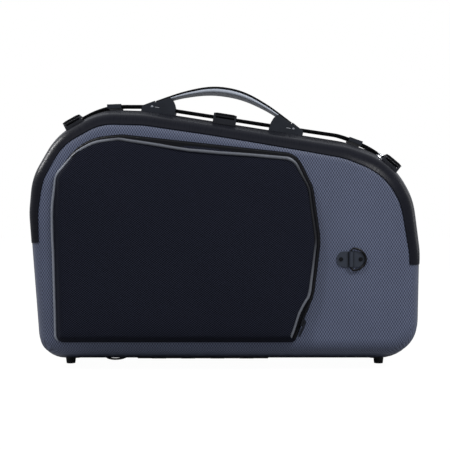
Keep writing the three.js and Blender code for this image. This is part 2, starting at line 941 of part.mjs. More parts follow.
function addHandle(strapTool) {
  const frame = crestFrame(handleCentreX);
  const centre = new THREE.Matrix4().setPosition(0, handleCentreY, 0);
  const handleFrame = frame.clone().multiply(centre);
  const strap = archSolid(0, [handleStrapThickness, handleStrapThickness], 1, 0);
  const gripDrop = handleStrapThickness + gap;
  const grip = archSolid(gripDrop, [handleGripEndThickness, handleGripThickness], gripSpanShare(), 0);
  const strapRoom = archSolid(0, [handleStrapThickness, handleStrapThickness], 1, gap);
  const gripRoom = archSolid(gripDrop, [handleGripEndThickness, handleGripThickness], gripSpanShare(), gap);
  [strapRoom, gripRoom].forEach((room) => room.applyMatrix4(centre));
  for (const [label, sign] of [['left', -1], ['right', 1]]) {
    const along = (share) => sign * (bracketStart + share * bracketLength);
    const face = bracketFrontY();
    const rivetSpot = new THREE.Vector3(along(bracketRivetShare), face, bracketMarkHeight);
    const deep = new THREE.Vector3(0, bracketRivetShankLength + gap, 0);
    const hole = rod(
      bracketRivetShankRadius + gap,
      rivetSpot.clone().sub(deep),
      rivetSpot.clone().add(deep),
      latchSides,
    );
    const slotX = along(bracketSlotShare);
    const slot = box(
      slotX - bracketSlotLength * HALF,
      slotX + bracketSlotLength * HALF,
      face - bracketSlotDepth,
      face + bracketSlotDepth,
      bracketMarkHeight - bracketSlotHeight * HALF,
      bracketMarkHeight + bracketSlotHeight * HALF,
    );
    const blank = cut(bracketGeometry(sign), strapRoom, gripRoom, hole, slot);
    const bracket = place(caseBase, piece(`handle_bracket_${label}`, blank, bracketBlack()), frame, topSeat);
    const local = strapTool.clone().applyMatrix4(frame.clone().invert());
    bracket.geometry = cut(bracket.geometry, local);
    bracket.geometry.computeVertexNormals();
    const rivetFrame = frame.clone().multiply(new THREE.Matrix4().setPosition(
      rivetSpot.x,
      rivetSpot.y - gap,
      rivetSpot.z,
    ));
    place(caseBase, piece(`bracket_rivet_${label}`, rivetGeometry(), steel()), rivetFrame);
  }
  place(caseBase, piece('handle_strap', strap, webbingBlack()), handleFrame);
  place(caseBase, piece('handle_grip', grip, gripGrey()), handleFrame);
}

// Top strap: follows the outline from ring to ring

function strapSpot(share) {
  const x = mix(strapLeftX, strapRightX, share);
  const frame = crestFrame(x);
  const height = tableAt(strapHeightShares, share) * strapHeight;
  return { frame, height };
}

function strapSolid(thickness, width) {
  const rings = [];
  for (let i = 0; i <= strapSteps; i += 1) {
    const { frame, height } = strapSpot(i / strapSteps);
    const half = width * HALF;
    const outline = [
      [strapCentreY - half, height - thickness * HALF],
      [strapCentreY + half, height - thickness * HALF],
      [strapCentreY + half, height + thickness * HALF],
      [strapCentreY - half, height + thickness * HALF],
    ];
    rings.push(outline.map(([y, z]) => new THREE.Vector3(0, y, z).applyMatrix4(frame)));
  }
  return loft(rings, false);
}

function shareAt(x) {
  return (x - strapLeftX) / (strapRightX - strapLeftX);
}

function sliderGeometry() {
  const body = box(
    -sliderLength * HALF,
    sliderLength * HALF,
    -sliderWidth * HALF,
    sliderWidth * HALF,
    -sliderThickness * HALF,
    sliderThickness * HALF,
  );
  const mouth = box(
    -sliderLength,
    sliderLength,
    -strapWidth * HALF - gap,
    strapWidth * HALF + gap,
    -sliderMouth * HALF,
    sliderMouth * HALF,
  );
  return cut(body, mouth);
}

// A rounded loop of wire lying in its own XY plane.
function wireLoop(length, width, corner, wire, sides, cornerSteps) {
  const halfLength = length * HALF - corner;
  const halfWidth = width * HALF - corner;
  const signs = [[1, 1], [-1, 1], [-1, -1], [1, -1]];
  const rings = [];
  signs.forEach(([signX, signY], quarter) => {
    const x = signX * halfLength;
    const y = signY * halfWidth;
    for (let i = 0; i <= cornerSteps; i += 1) {
      const angle = (quarter + i / cornerSteps) * QUARTER;
      const out = new THREE.Vector3(Math.cos(angle), Math.sin(angle), 0);
      const centre = new THREE.Vector3(x, y, 0).addScaledVector(out, corner);
      rings.push(wireRing(centre, out, wire, sides));
    }
  });
  return loft(rings, true);
}

function wireRing(centre, out, wire, sides) {
  const ring = [];
  for (let s = 0; s < sides; s += 1) {
    const turn = (s / sides) * TURN;
    ring.push(centre.clone()
      .addScaledVector(out, wire * Math.cos(turn))
      .add(new THREE.Vector3(0, 0, wire * Math.sin(turn))));
  }
  return ring;
}

function addStrapHardware(strapRoom) {
  for (const [label, sign, end] of [['left', -1, 0], ['right', 1, 1]]) {
    const { frame, height } = strapSpot(end);
    const shift = sign * (ringLength * HALF + gap + ringWire);
    const ringFrame = frame.clone().multiply(new THREE.Matrix4().setPosition(shift, strapCentreY, height));
    const loop = wireLoop(ringLength, ringWidth, ringCorner, ringWire, ringSides, ringCornerSteps);
    place(caseBase, piece(`top_ring_${label}`, loop, steel()), ringFrame);
    const anchor = box(
      -anchorLength * HALF,
      anchorLength * HALF,
      -anchorWidth * HALF,
      anchorWidth * HALF,
      -anchorDrop - height,
      anchorTop,
    );
    const centre = sign * ringLength * HALF;
    const half = new THREE.Vector3(0, ringWidth, 0);
    const middle = new THREE.Vector3(centre, 0, 0);
    const eye = rod(ringWire + gap, middle.clone().sub(half), middle.clone().add(half), ringSides);
    const offset = new THREE.Matrix4().setPosition(centre, 0, 0);
    const blank = cut(anchor.applyMatrix4(offset), eye);
    place(caseBase, piece(`ring_anchor_${label}`, blank, bracketBlack()), ringFrame, topSeat);
    const sliderX = label === 'left' ? sliderLeftX : sliderRightX;
    const spot = strapSpot(shareAt(sliderX));
    const seat = new THREE.Matrix4().setPosition(0, strapCentreY, spot.height);
    const slider = piece(`strap_slider_${label}`, sliderGeometry(), bracketBlack());
    place(caseBase, slider, spot.frame.clone().multiply(seat), strapRoom);
  }
}

// Draw latches

function latchBaseGeometry(width, rise) {
  const half = width * HALF;
  const pivotZ = latchPivotHeight + rise;
  const top = latchBaseTop + rise;
  const body = box(-half, half, -latchBaseFront, -latchBaseBack, -latchBaseDrop, top);
  const ears = [-1, 1].flatMap((side) => {
    const [low, high] = [side * half, side * (half - latchEarThickness)].sort((a, b) => a - b);
    const front = -latchPivotDepth - latchEarRadius;
    const from = new THREE.Vector3(low, -latchPivotDepth, pivotZ);
    const to = new THREE.Vector3(high, -latchPivotDepth, pivotZ);
    return [
      box(low, high, front, front + latchEarRadius * 2, 0, pivotZ),
      rod(latchEarRadius, from, to, latchEarSides),
    ];
  });
  const reach = new THREE.Vector3(half - latchEarThickness * HALF, 0, 0);
  const pin = rod(latchPinRadius, reach.clone().negate(), reach, latchSides);
  pin.translate(0, -latchPivotDepth, pivotZ);
  return join(body, ...ears, pin);
}

function leverGeometry(width, rise) {
  const half = width * HALF;
  const inner = half - latchEarThickness - gap;
  const pivotZ = latchPivotHeight + rise;
  const under = pivotZ + latchLeverLift;
  const over = under + latchLeverThickness;
  const crown = latchLeverThickness * HALF;
  const section = [
    [-half, under],
    [-half, over - crown],
    [-half + latchLeverChamfer, over],
    [half - latchLeverChamfer, over],
    [half, over - crown],
    [half, under],
  ];
  const front = -latchLeverFront;
  const back = latchLeverBack;
  const rings = [
    section.map(([x, z]) => new THREE.Vector3(x, front, z)),
    section.map(([x, z]) => new THREE.Vector3(x, back, z)),
    section.map(([x, z]) => new THREE.Vector3(x, back + latchLipLength, z + latchLipRise)),
  ];
  const plate = loft(rings, false);
  const end = new THREE.Vector3(inner, -latchPivotDepth, pivotZ);
  const start = new THREE.Vector3(-inner, -latchPivotDepth, pivotZ);
  const hub = rod(latchHubRadius, start, end, latchSides);
  const web = box(
    -inner,
    inner,
    -latchPivotDepth - latchHubRadius * HALF,
    -latchPivotDepth + latchHubRadius * HALF,
    pivotZ + latchPinRadius + gap,
    under + latchLeverThickness * HALF,
  );
  const bore = rod(latchPinRadius + gap, start.clone().setX(-half), end.clone().setX(half), latchSides);
  const clawHalf = latchClawWidth * HALF + gap;
  const clawZ = pivotZ;
  const lugs = [-1, 1].map((sign) => box(
    Math.min(sign * clawHalf, sign * (clawHalf + latchEarThickness)),
    Math.max(sign * clawHalf, sign * (clawHalf + latchEarThickness)),
    -latchClawPivotDepth - latchClawHubRadius,
    -latchClawPivotDepth + latchClawHubRadius,
    clawZ - latchClawHubRadius,
    under + latchLeverThickness * HALF,
  ));
  const clawPin = rod(
    latchClawPinRadius,
    new THREE.Vector3(-clawHalf - latchEarThickness * HALF, -latchClawPivotDepth, clawZ),
    new THREE.Vector3(clawHalf + latchEarThickness * HALF, -latchClawPivotDepth, clawZ),
    latchSides,
  );
  return join(cut(join(plate, hub, web), bore), ...lugs, clawPin);
}

function clawGeometry(rise) {
  const half = latchClawWidth * HALF;
  const z = latchPivotHeight + rise;
  const thick = latchClawThickness * HALF;
  const plate = box(-half, half, -latchClawPivotDepth, latchClawReach, z - thick, z + thick);
  const hook = box(
    -half,
    half,
    latchClawReach - latchHookLength,
    latchClawReach,
    z - latchHookDrop,
    z + thick,
  );
  const end = new THREE.Vector3(half, -latchClawPivotDepth, z);
  const start = new THREE.Vector3(-half, -latchClawPivotDepth, z);
  const hub = rod(latchClawHubRadius, start, end, latchSides);
  const bore = rod(latchClawPinRadius + gap, start.clone().setX(-half * 2), end.clone().setX(half * 2), latchSides);
  return cut(join(plate, hook, hub), bore);
}

function keeperGeometry(rise) {
  const half = latchKeeperWidth * HALF;
  return box(-half, half, latchKeeperFront, latchKeeperBack, -latchKeeperDrop, latchKeeperTop + rise);
}

function addLatches() {
  for (const [label, x, width, rise] of [
    ['left', latchLeftX, latchSideWidth, latchSideRise],
    ['middle', latchMiddleX, latchMiddleWidth, latchMiddleRise],
    ['right', latchRightX, latchSideWidth, latchSideRise],
  ]) {
    const frame = crestFrame(x);
    const base = piece(`latch_base_${label}`, latchBaseGeometry(width, rise), latchGrey());
    place(caseLid, base, frame, lidSeat);
    place(caseLid, piece(`latch_lever_${label}`, leverGeometry(width, rise), latchBlack()), frame);
    place(caseLid, piece(`latch_claw_${label}`, clawGeometry(rise), steel()), frame);
    place(caseBase, piece(`latch_keeper_${label}`, keeperGeometry(rise), latchGrey()), frame, topSeat);
  }
}

// Ring fittings: plate in its own XY plane, barrel along Y, ring lying to +X

function fittingPlate() {
  const halfX = fittingLength * HALF - fittingEndRadius;
  const halfY = fittingHeight * HALF - fittingEndRadius;
  const shape = new THREE.Shape();
  shape.absarc(halfX, halfY, fittingEndRadius, 0, QUARTER);
  shape.absarc(-halfX, halfY, fittingEndRadius, QUARTER, QUARTER * 2);
  shape.absarc(-halfX, -halfY, fittingEndRadius, QUARTER * 2, QUARTER * 3);
  shape.absarc(halfX, -halfY, fittingEndRadius, QUARTER * 3, TURN);
  const plate = new THREE.ExtrudeGeometry(shape, {
    depth: fittingThickness,
    bevelEnabled: false,
    curveSegments: fittingEndSteps,
  });
  plate.translate(0, 0, gap);
  const half = new THREE.Vector3(0, fittingHeight * HALF, 0);
  const axisHeight = fittingAxisHeight();
  const barrel = rod(fittingBarrelRadius, half.clone().negate(), half, fittingSides);
  barrel.translate(0, 0, axisHeight);
  const long = half.clone().multiplyScalar(2);
  const bore = rod(fittingBoreRadius, long.clone().negate(), long, fittingSides);
  bore.translate(0, 0, axisHeight);
  return cut(join(plate, barrel), bore);
}

function fittingAxisHeight() {
  return gap + fittingBarrelLift + fittingBarrelRadius;
}

function fittingScrew() {
  const head = new THREE.CylinderGeometry(
    fittingScrewRadius * fittingScrewCrownShare,
    fittingScrewRadius,
    fittingScrewHeight,
    fittingSides,
  );
  head.rotateX(QUARTER);
  head.translate(0, 0, fittingScrewHeight * HALF);
  const slots = [
    [fittingScrewSlotLength, fittingScrewSlotWidth],
    [fittingScrewSlotWidth, fittingScrewSlotLength],
  ].map(([x, y]) => box(
    -x * HALF,
    x * HALF,
    -y * HALF,
    y * HALF,
    fittingScrewHeight - fittingScrewSlotDepth,
    fittingScrewHeight + fittingScrewSlotDepth,
  ));
  return cut(head, ...slots);
}

function fittingRing() {
  const half = fittingRingHeight * HALF;
  const rings = [];
  const corner = fittingRingWire * 2;
  const path = [new THREE.Vector3(0, -half + corner, 0), new THREE.Vector3(0, half - corner, 0)];
  for (let i = 0; i <= fittingRingSteps; i += 1) {
    const angle = QUARTER - (i / fittingRingSteps) * Math.PI;
    path.push(new THREE.Vector3(
      corner + (fittingRingReach - corner) * Math.cos(angle),
      half * Math.sin(angle),
      0,
    ));
  }
  path.forEach((point, i) => {
    const before = path[(i + path.length - 1) % path.length];
    const after = path[(i + 1) % path.length];
    const along = after.clone().sub(before).normalize();
    const out = new THREE.Vector3(-along.y, along.x, 0);
    rings.push(wireRing(point, out, fittingRingWire, ringSides));
  });
  return loft(rings, true);
}

function addFitting(parent, label, frame) {
  place(parent, piece(`${label}_ring_plate`, fittingPlate(), blackSteel()), frame);
  for (const [side, sign] of [['a', -1], ['b', 1]]) {
    const seat = new THREE.Matrix4().setPosition(sign * fittingScrewOffset, 0, gap * 2 + fittingThickness);
    const screwFrame = frame.clone().multiply(seat);
    place(parent, piece(`${label}_ring_screw_${side}`, fittingScrew(), blackSteel()), screwFrame);
  }
  const axis = new THREE.Matrix4().setPosition(0, 0, fittingAxisHeight());
  place(parent, piece(`${label}_ring`, fittingRing(), blackSteel()), frame.clone().multiply(axis));
}

function addFittings() {
  const front = new THREE.Matrix4()
    .makeRotationX(QUARTER)
    .setPosition(frontFittingX, -lidDepth, frontFittingZ);
  addFitting(caseLid, 'front', front);
  const z = footClearance + wallInset(baseForm, 0, underFittingY);
  const under = new THREE.Matrix4()
    .makeRotationX(baseForm.draft)
    .multiply(new THREE.Matrix4().makeRotationZ(-QUARTER))
    .multiply(new THREE.Matrix4().makeRotationX(Math.PI))
    .setPosition(underFittingX, underFittingY, z);
  addFitting(caseBase, 'under', under);
}

// Pocket with its piping, zip, slider and pull

const pocketCorners = pocketCornerShares.map(([x, z, radius]) => [
  pocketLeft + x * pocketWidth,
  pocketBottom + z * pocketHeight,
  radius * pocketWidth,
]);
const pocketOutline = roundedOutline(pocketCorners, pocketCornerStep, []);

function pocketSection() {
  return pocketProfileShares.map(([up, inset]) => ({
    y: -lidDepth - up * pocketRise,
    inset: inset * pocketRise,
  }));
}

function pocketGeometry() {
  const rings = pocketSection().map(({ y, inset }) => outlineRing(pocketOutline, inset, y));
  return loft(rings, false);
}

function slopeFrame() {
  const [, low, high] = pocketSection();
  const along = new THREE.Vector2(high.inset - low.inset, low.y - high.y);
  const length = along.length();
  along.divideScalar(length);
  const normal = new THREE.Vector2(-along.y, along.x);
  return { low, along, normal, length };
}

function slopePoint(share, lift) {
  const { low, along, normal, length } = slopeFrame();
  return {
    inset: low.inset + along.x * share * length + normal.x * lift,
    y: low.y - along.y * share * length - normal.y * lift,
  };
}

function zipRun() {
  const inside = ({ corner, share }) => corner >= zipFirstCornerIndex
    && (corner < zipLastCornerIndex || (corner === zipLastCornerIndex && share === 0));
  return pocketOutline.stations.filter(inside);
}

function pocketStationPoint(station, { inset, y }) {
  const { point } = stationAt(pocketOutline, station, inset);
  return new THREE.Vector3(point.x, y, point.y);
}

function zipGeometry() {
  const loop = [
    slopePoint(zipFromShare, gap),
    slopePoint(zipToShare, gap),
    slopePoint(zipToShare, gap + zipThickness),
    slopePoint(zipFromShare, gap + zipThickness),
  ];
  const rings = zipRun().map((station) => loop.map((spot) => pocketStationPoint(station, spot)));
  return loft(rings, false, true);
}

function pipingGeometry() {
  const [, , high] = pocketSection();
  const lift = pipingRadius + gap * 2;
  const centre = { inset: high.inset - lift * HALF, y: high.y - lift };
  const rings = pocketOutline.stations.map((station) => {
    const ring = [];
    for (let s = 0; s < pipingSides; s += 1) {
      const turn = (s / pipingSides) * TURN;
      ring.push(pocketStationPoint(station, {
        inset: centre.inset + pipingRadius * Math.cos(turn),
        y: centre.y + pipingRadius * Math.sin(turn),
      }));
    }
    return ring;
  });
  return loft(rings, true);
}

function zipSliderFrame() {
  const from = cornerPoint(pocketOutline.turns[zipSliderCornerIndex], 1, 0);
  const to = cornerPoint(pocketOutline.turns[zipSliderCornerIndex + 1], 0, 0);
  const along = to.point.clone().sub(from.point).normalize();
  const middle = slopePoint(HALF, gap * 2 + zipThickness);
  const edge = from.point.clone().lerp(to.point, zipSliderEdgeShare);
  const point = edge.addScaledVector(from.normal, -middle.inset);
  const { normal } = slopeFrame();
  const xAxis = new THREE.Vector3(along.x, 0, along.y);
  const outwardAxis = new THREE.Vector3(from.normal.x, 0, from.normal.y);
  const zAxis = outwardAxis.multiplyScalar(-normal.x).add(new THREE.Vector3(0, -normal.y, 0)).normalize();
  const yAxis = zAxis.clone().cross(xAxis);
  return new THREE.Matrix4().makeBasis(xAxis, yAxis, zAxis).setPosition(point.x, middle.y, point.y);
}

function zipSliderGeometry() {
  const body = box(
    -zipSliderLength * HALF,
    zipSliderLength * HALF,
    -zipSliderWidth * HALF,
    zipSliderWidth * HALF,
    0,
    zipSliderHeight,
  );
  const foot = new THREE.Vector3(0, 0, zipSliderHeight * HALF);
  const tip = new THREE.Vector3(0, 0, zipSliderHeight + zipPostHeight);
  return join(body, rod(zipPostRadius, foot, tip, pipingSides));
}

function zipPullGeometry() {
  const half = zipPullWidth * HALF;
  const plate = box(-half, half, -zipPullLength, half, 0, zipPullThickness);
  const depth = new THREE.Vector3(0, 0, zipPullThickness * 2);
  const eye = rod(zipPullEyeRadius, depth.clone().negate(), depth, latchSides);
  return cut(plate, eye);
}

function addPocket() {
  place(caseLid, piece('pocket', pocketGeometry(), fabricBlack()), still);
  place(caseLid, piece('pocket_piping', pipingGeometry(), pipingGrey()), still);
  place(caseLid, piece('pocket_zip', zipGeometry(), webbingBlack()), still);
  const frame = zipSliderFrame();
  place(caseLid, piece('zip_slider', zipSliderGeometry(), blackSteel()), frame);
  const pullFrame = frame.clone()
    .multiply(new THREE.Matrix4().setPosition(0, 0, zipSliderHeight + gap))
    .multiply(new THREE.Matrix4().makeRotationZ(QUARTER));
  place(caseLid, piece('zip_pull', zipPullGeometry(), blackSteel()), pullFrame);
}

addShells();
addHinge();
addLinings();
addFeet();
const strapRoom = strapSolid(strapThickness + gap * 2, strapWidth + gap * 2);
addHandle(strapRoom);
place(caseBase, piece('top_strap', strapSolid(strapThickness, strapWidth), webbingBlack()), still);
addStrapHardware(strapRoom);
addLatches();
addFittings();
addPocket();

const group = new THREE.Group();
group.name = 'french_horn_case';
group.add(caseBase, caseLid);
group.updateMatrixWorld(true);
const bounds = new THREE.Box3().setFromObject(group, true);
const centre = bounds.getCenter(new THREE.Vector3());
for (const half of [caseBase, caseLid]) {
  half.position.set(-centre.x, -centre.y, -bounds.min.z);
}
group.updateMatrixWorld(true);

export default group;
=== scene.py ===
import math

import bmesh
import bpy
import numpy as np
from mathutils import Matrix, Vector, noise
from mathutils.geometry import delaunay_2d_cdt


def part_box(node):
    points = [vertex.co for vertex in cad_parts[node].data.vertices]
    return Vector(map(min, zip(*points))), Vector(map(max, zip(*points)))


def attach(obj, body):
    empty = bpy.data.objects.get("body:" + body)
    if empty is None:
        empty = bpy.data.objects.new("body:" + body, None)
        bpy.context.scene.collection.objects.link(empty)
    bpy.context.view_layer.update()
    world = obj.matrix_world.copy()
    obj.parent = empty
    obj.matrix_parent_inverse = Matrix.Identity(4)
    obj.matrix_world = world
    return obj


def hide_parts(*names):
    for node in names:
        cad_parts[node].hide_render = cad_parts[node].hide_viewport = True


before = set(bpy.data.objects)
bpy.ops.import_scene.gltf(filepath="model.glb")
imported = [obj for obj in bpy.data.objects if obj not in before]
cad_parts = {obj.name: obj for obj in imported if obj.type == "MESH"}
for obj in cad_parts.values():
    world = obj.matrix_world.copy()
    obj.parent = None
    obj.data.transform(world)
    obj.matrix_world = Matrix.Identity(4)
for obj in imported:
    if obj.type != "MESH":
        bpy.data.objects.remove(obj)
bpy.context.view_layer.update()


# Base shell: the deep back half of the case, one sheet of ABS vacuum formed over a mould.
# The sheet is embossed with a fine hexagonal field of dots before forming, so the dots run
# on over the shoulders and stretch a little down the walls.

MM = 0.001
pin_low, pin_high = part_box("hinge_pin")
ORIGIN = (pin_low + pin_high) / 2
HINGE_CENTRE_X = -32.5
MIDDLE_X = ORIGIN.x - HINGE_CENTRE_X * MM
SEAM_Y = ORIGIN.y

SHELL_WIDTH = 580
SHELL_HEIGHT = 367
FOOT_CLEARANCE = 10.5
WALL = 3.5
GAP = 0.3
SEAM_HALF_GAP = 1.3
LEAST_RADIUS = 2
SHELL_CORNERS = [
    (-0.472, 0, 0.067),
    (-0.501, 0.589, 0.237),
    (-0.493, 0.731, 0.165),
    (-0.43, 0.903, 0.173),
    (-0.315, 1.0045, 0.168),
    (-0.196, 0.9985, 0.232),
    (0.307, 0.873, 0.208),
    (0.425, 0.806, 0.202),
    (0.483, 0.643, 0.183),
    (0.5, 0.432, 0.235),
    (0.494, 0, 0.098),
]
BASE_FORM = {"side": 1, "depth": 105, "shoulder": 30, "draft": 0.122}
LID_FORM = {"side": -1, "depth": 75, "shoulder": 26, "draft": 0.227}
FINE_STEP = 0.05
SHOULDER_STEPS = 14


def linear(hex_colour):
    """One sRGB hex colour as the linear values that shaders take."""
    values = [int(hex_colour[i : i + 2], 16) / 255 for i in (1, 3, 5)]
    return tuple([v / 12.92 if v <= 0.04045 else ((v + 0.055) / 1.055) ** 2.4 for v in values] + [1.0])


def add(tree, kind, inputs=None, **settings):
    """Adds one node, with its settings, and its inputs set or linked."""
    made = tree.nodes.new(kind)
    for key, value in settings.items():
        setattr(made, key, value)
    for key, value in (inputs or {}).items():
        if isinstance(value, bpy.types.NodeSocket):
            tree.links.new(value, made.inputs[key])
        else:
            made.inputs[key].default_value = value
    return made


def start_material(name, shader):
    """A new material with one Principled shader, given its plain settings."""
    material = bpy.data.materials.new(name)
    material.use_nodes = True
    tree = material.node_tree
    tree.nodes.clear()
    surface = add(tree, "ShaderNodeBsdfPrincipled", shader)
    output = add(tree, "ShaderNodeOutputMaterial")
    tree.links.new(surface.outputs["BSDF"], output.inputs["Surface"])
    material.diffuse_color = shader.get("Base Color", (0.5, 0.5, 0.5, 1))
    return material, tree, surface


def patterned(tree, surface, tone, colours, relief=None, strength=1.0, depth=0.0):
    """Shades a surface between two colours by one pattern and dents it, in millimetres, by another."""
    dark, pale = colours
    mix = add(tree, "ShaderNodeMix", {"Factor": tone, "A": linear(dark), "B": linear(pale)}, data_type="RGBA")
    tree.links.new(mix.outputs["Result"], surface.inputs["Base Color"])
    if relief:
        bump = add(tree, "ShaderNodeBump", {"Height": relief, "Strength": strength, "Distance": depth * MM})
        tree.links.new(bump.outputs["Normal"], surface.inputs["Normal"])


def unit(vector):
    return np.array(vector, float) / np.linalg.norm(vector)


def outline_turns(corners):
    """The rounded corners of a closed outline, each with its centre line and sweep."""
    turns = []
    for i, (x, z, radius) in enumerate(corners):
        before = corners[i - 1]
        after = corners[(i + 1) % len(corners)]
        back = unit((before[0] - x, before[1] - z))
        on = unit((after[0] - x, after[1] - z))
        half = math.acos(float(back @ on)) / 2
        turns.append((np.array([x, z]), radius, half, unit(back + on), math.pi - 2 * half))
    return turns


def corner_spot(turn, share, inset):
    tip, full, half, inward, sweep = turn
    radius = max(full - inset, LEAST_RADIUS)
    angle = math.atan2(-inward[1], -inward[0]) + (0.5 - share) * sweep
    normal = np.array([math.cos(angle), math.sin(angle)])
    return tip + inward * ((inset + radius) / math.sin(half)) + normal * radius, normal


def outline_spot(turns, station, inset):
    """A station's point at an inset from the outline, and the direction outwards."""
    on_edge, i, share = station
    if not on_edge:
        return corner_spot(turns[i], share, inset)
    start, normal = corner_spot(turns[i], 1, inset)
    end, _ = corner_spot(turns[(i + 1) % len(turns)], 0, inset)
    return start + (end - start) * share, normal


def outline_stations(turns, step, edge_parts=6):
    stations = []
    for i, turn in enumerate(turns):
        steps = max(2, math.ceil(turn[4] / step))
        stations += [(False, i, k / steps) for k in range(steps + 1)]
        stations += [(True, i, k / edge_parts) for k in range(1, edge_parts)]
    return stations


shell_turns = outline_turns(
    [(x * SHELL_WIDTH, FOOT_CLEARANCE + z * SHELL_HEIGHT, r * SHELL_WIDTH) for x, z, r in SHELL_CORNERS]
)
shell_stations = outline_stations(shell_turns, FINE_STEP)


def placed(x, depth, z):
    """A point of the drawing, in millimetres from the seam, as metres in the case's frame."""
    return (MIDDLE_X + x * MM, SEAM_Y + depth * MM, z * MM)


def ring_of(turns, steps):
    """A loop of points, each given by its station, its inset and its depth from the seam."""
    spots = [(outline_spot(turns, station, inset)[0], depth) for station, inset, depth in steps]
    return [placed(spot[0], depth, spot[1]) for spot, depth in spots]


def outline_ring(turns, stations, inset, depth):
    return ring_of(turns, [(station, inset, depth) for station in stations])


def shoulder_centre(form):
    depth = form["depth"] - form["shoulder"]
    rise = (depth + form["shoulder"] * math.sin(form["draft"]) - SEAM_HALF_GAP) * math.tan(form["draft"])
    return depth, rise + form["shoulder"] * math.cos(form["draft"])


def wall_inset(form, offset, depth):
    return (depth - SEAM_HALF_GAP) * math.tan(form["draft"]) + offset / math.cos(form["draft"])


def shoulder_spot(form, offset, angle):
    depth, inset = shoulder_centre(form)
    radius = form["shoulder"] - offset
    return depth + radius * math.sin(angle), inset - radius * math.cos(angle)


def wall_section(form, offset, rim, steps, wall_parts=5):
    """Depth and inset from the rim over the shoulder to the flat face."""
    start = (rim, wall_inset(form, offset, rim))
    foot = shoulder_spot(form, offset, form["draft"])
    points = [
        (start[0] + (foot[0] - start[0]) * k / wall_parts, start[1] + (foot[1] - start[1]) * k / wall_parts)
        for k in range(wall_parts)
    ]
    for k in range(steps + 1):
        angle = form["draft"] + (math.pi / 2 - form["draft"]) * k / steps
        points.append(shoulder_spot(form, offset, angle))
    return points


def mesh_piece(name, vertices, faces, material, smooth_angle=35):
    mesh = bpy.data.meshes.new(name)
    mesh.from_pydata(vertices, [], faces)
    build = bmesh.new()
    build.from_mesh(mesh)
    bmesh.ops.recalc_face_normals(build, faces=build.faces)
    build.to_mesh(mesh)
    build.free()
    mesh.polygons.foreach_set("use_smooth", [True] * len(mesh.polygons))
    mesh.set_sharp_from_angle(angle=math.radians(smooth_angle))
    mesh.materials.append(material)
    piece = bpy.data.objects.new(name, mesh)
    bpy.context.scene.collection.objects.link(piece)
    return piece


def loft_faces(rings, size, closed_along, closed_round=True, capped=True):
    """Faces between rings of equal size, with a flat cap on each end."""
    faces = []
    spans = rings if closed_along else rings - 1
    around = size if closed_round else size - 1
    for r in range(spans):
        low, high = r * size, ((r + 1) % rings) * size
        for i in range(around):
            j = (i + 1) % size
            faces.append((low + i, low + j, high + j, high + i))
    if capped and not closed_along:
        faces.append(tuple(range(size))[::-1])
        faces.append(tuple(range((rings - 1) * size, rings * size)))
    return faces


def loft(name, rings, material, closed_along=False, smooth_angle=35):
    vertices = [point for ring in rings for point in ring]
    faces = loft_faces(len(rings), len(rings[0]), closed_along)
    return mesh_piece(name, vertices, faces, material, smooth_angle)


def sheet_map(piece, points, stations, turns):
    """Lays the flat sheet's own millimetres over the shell as a UV map."""
    layer = piece.data.uv_layers.new(name="sheet")
    edge_depth, edge_inset = points[-1]
    run = [0.0]
    for (d0, i0), (d1, i1) in zip(points[::-1], points[-2::-1]):
        run.append(run[-1] + math.hypot(d1 - d0, i1 - i0))
    run = run[::-1]
    flat = []
    for k in range(len(points)):
        for station in stations:
            spot, normal = outline_spot(turns, station, edge_inset)
            flat.append(spot + normal * run[k])
    for loop in piece.data.loops:
        if loop.vertex_index < len(flat):
            layer.data[loop.index].uv = flat[loop.vertex_index] * MM
        else:
            corner = piece.data.vertices[loop.vertex_index].co
            layer.data[loop.index].uv = (corner.x, corner.z)


def shell_piece(name, form, material):
    outer = wall_section(form, 0, SEAM_HALF_GAP, SHOULDER_STEPS)
    inner = wall_section(form, WALL, SEAM_HALF_GAP, 5, 1)
    rings = [
        outline_ring(shell_turns, shell_stations, inset, form["side"] * depth)
        for depth, inset in outer[::-1] + inner
    ]
    piece = loft(name, rings[::-1], material, smooth_angle=50)
    return piece, outer


HINGE_HALF_LENGTH = 97.5
HINGE_RADIUS = 1.9


def hinge_notch():
    """The slot that the piano hinge's knuckles lie in, as a cutting block."""
    reach = (HINGE_RADIUS + GAP) * MM
    half = (HINGE_HALF_LENGTH + GAP) * MM
    top = FOOT_CLEARANCE * MM + reach
    spots = [
        (MIDDLE_X + HINGE_CENTRE_X * MM + sx * half, SEAM_Y + sy * reach, z)
        for z in (-0.05, top)
        for sx, sy in ((-1, -1), (1, -1), (1, 1), (-1, 1))
    ]
    mesh = bpy.data.meshes.new("notch")
    mesh.from_pydata(spots, [], loft_faces(2, 4, False))
    block = bpy.data.objects.new("notch", mesh)
    bpy.context.scene.collection.objects.link(block)
    return block


def cut_by(piece, block):
    """Cuts the block out of the piece and removes the block."""
    cutter = piece.modifiers.new("cut", "BOOLEAN")
    cutter.operation = "DIFFERENCE"
    cutter.solver = "EXACT"
    cutter.object = block
    bpy.context.view_layer.update()
    evaluated = piece.evaluated_get(bpy.context.evaluated_depsgraph_get())
    mesh = bpy.data.meshes.new_from_object(evaluated)
    piece.modifiers.remove(cutter)
    piece.data = mesh
    bpy.data.objects.remove(block)


# The dots stand on a diamond grid, 3.7 mm along a row and 2.87 mm between rows, as on the case.
DOT_PITCH = 3.7
DOT_ROW = 2.87


def wave(tree, along, period, start="COSINE"):
    """A wave along one coordinate, with its period in millimetres."""
    turns = add(tree, "ShaderNodeMath", {0: along, 1: 2 * math.pi / (period * MM)}, operation="MULTIPLY").outputs[0]
    return add(tree, "ShaderNodeMath", {0: turns}, operation=start).outputs[0]


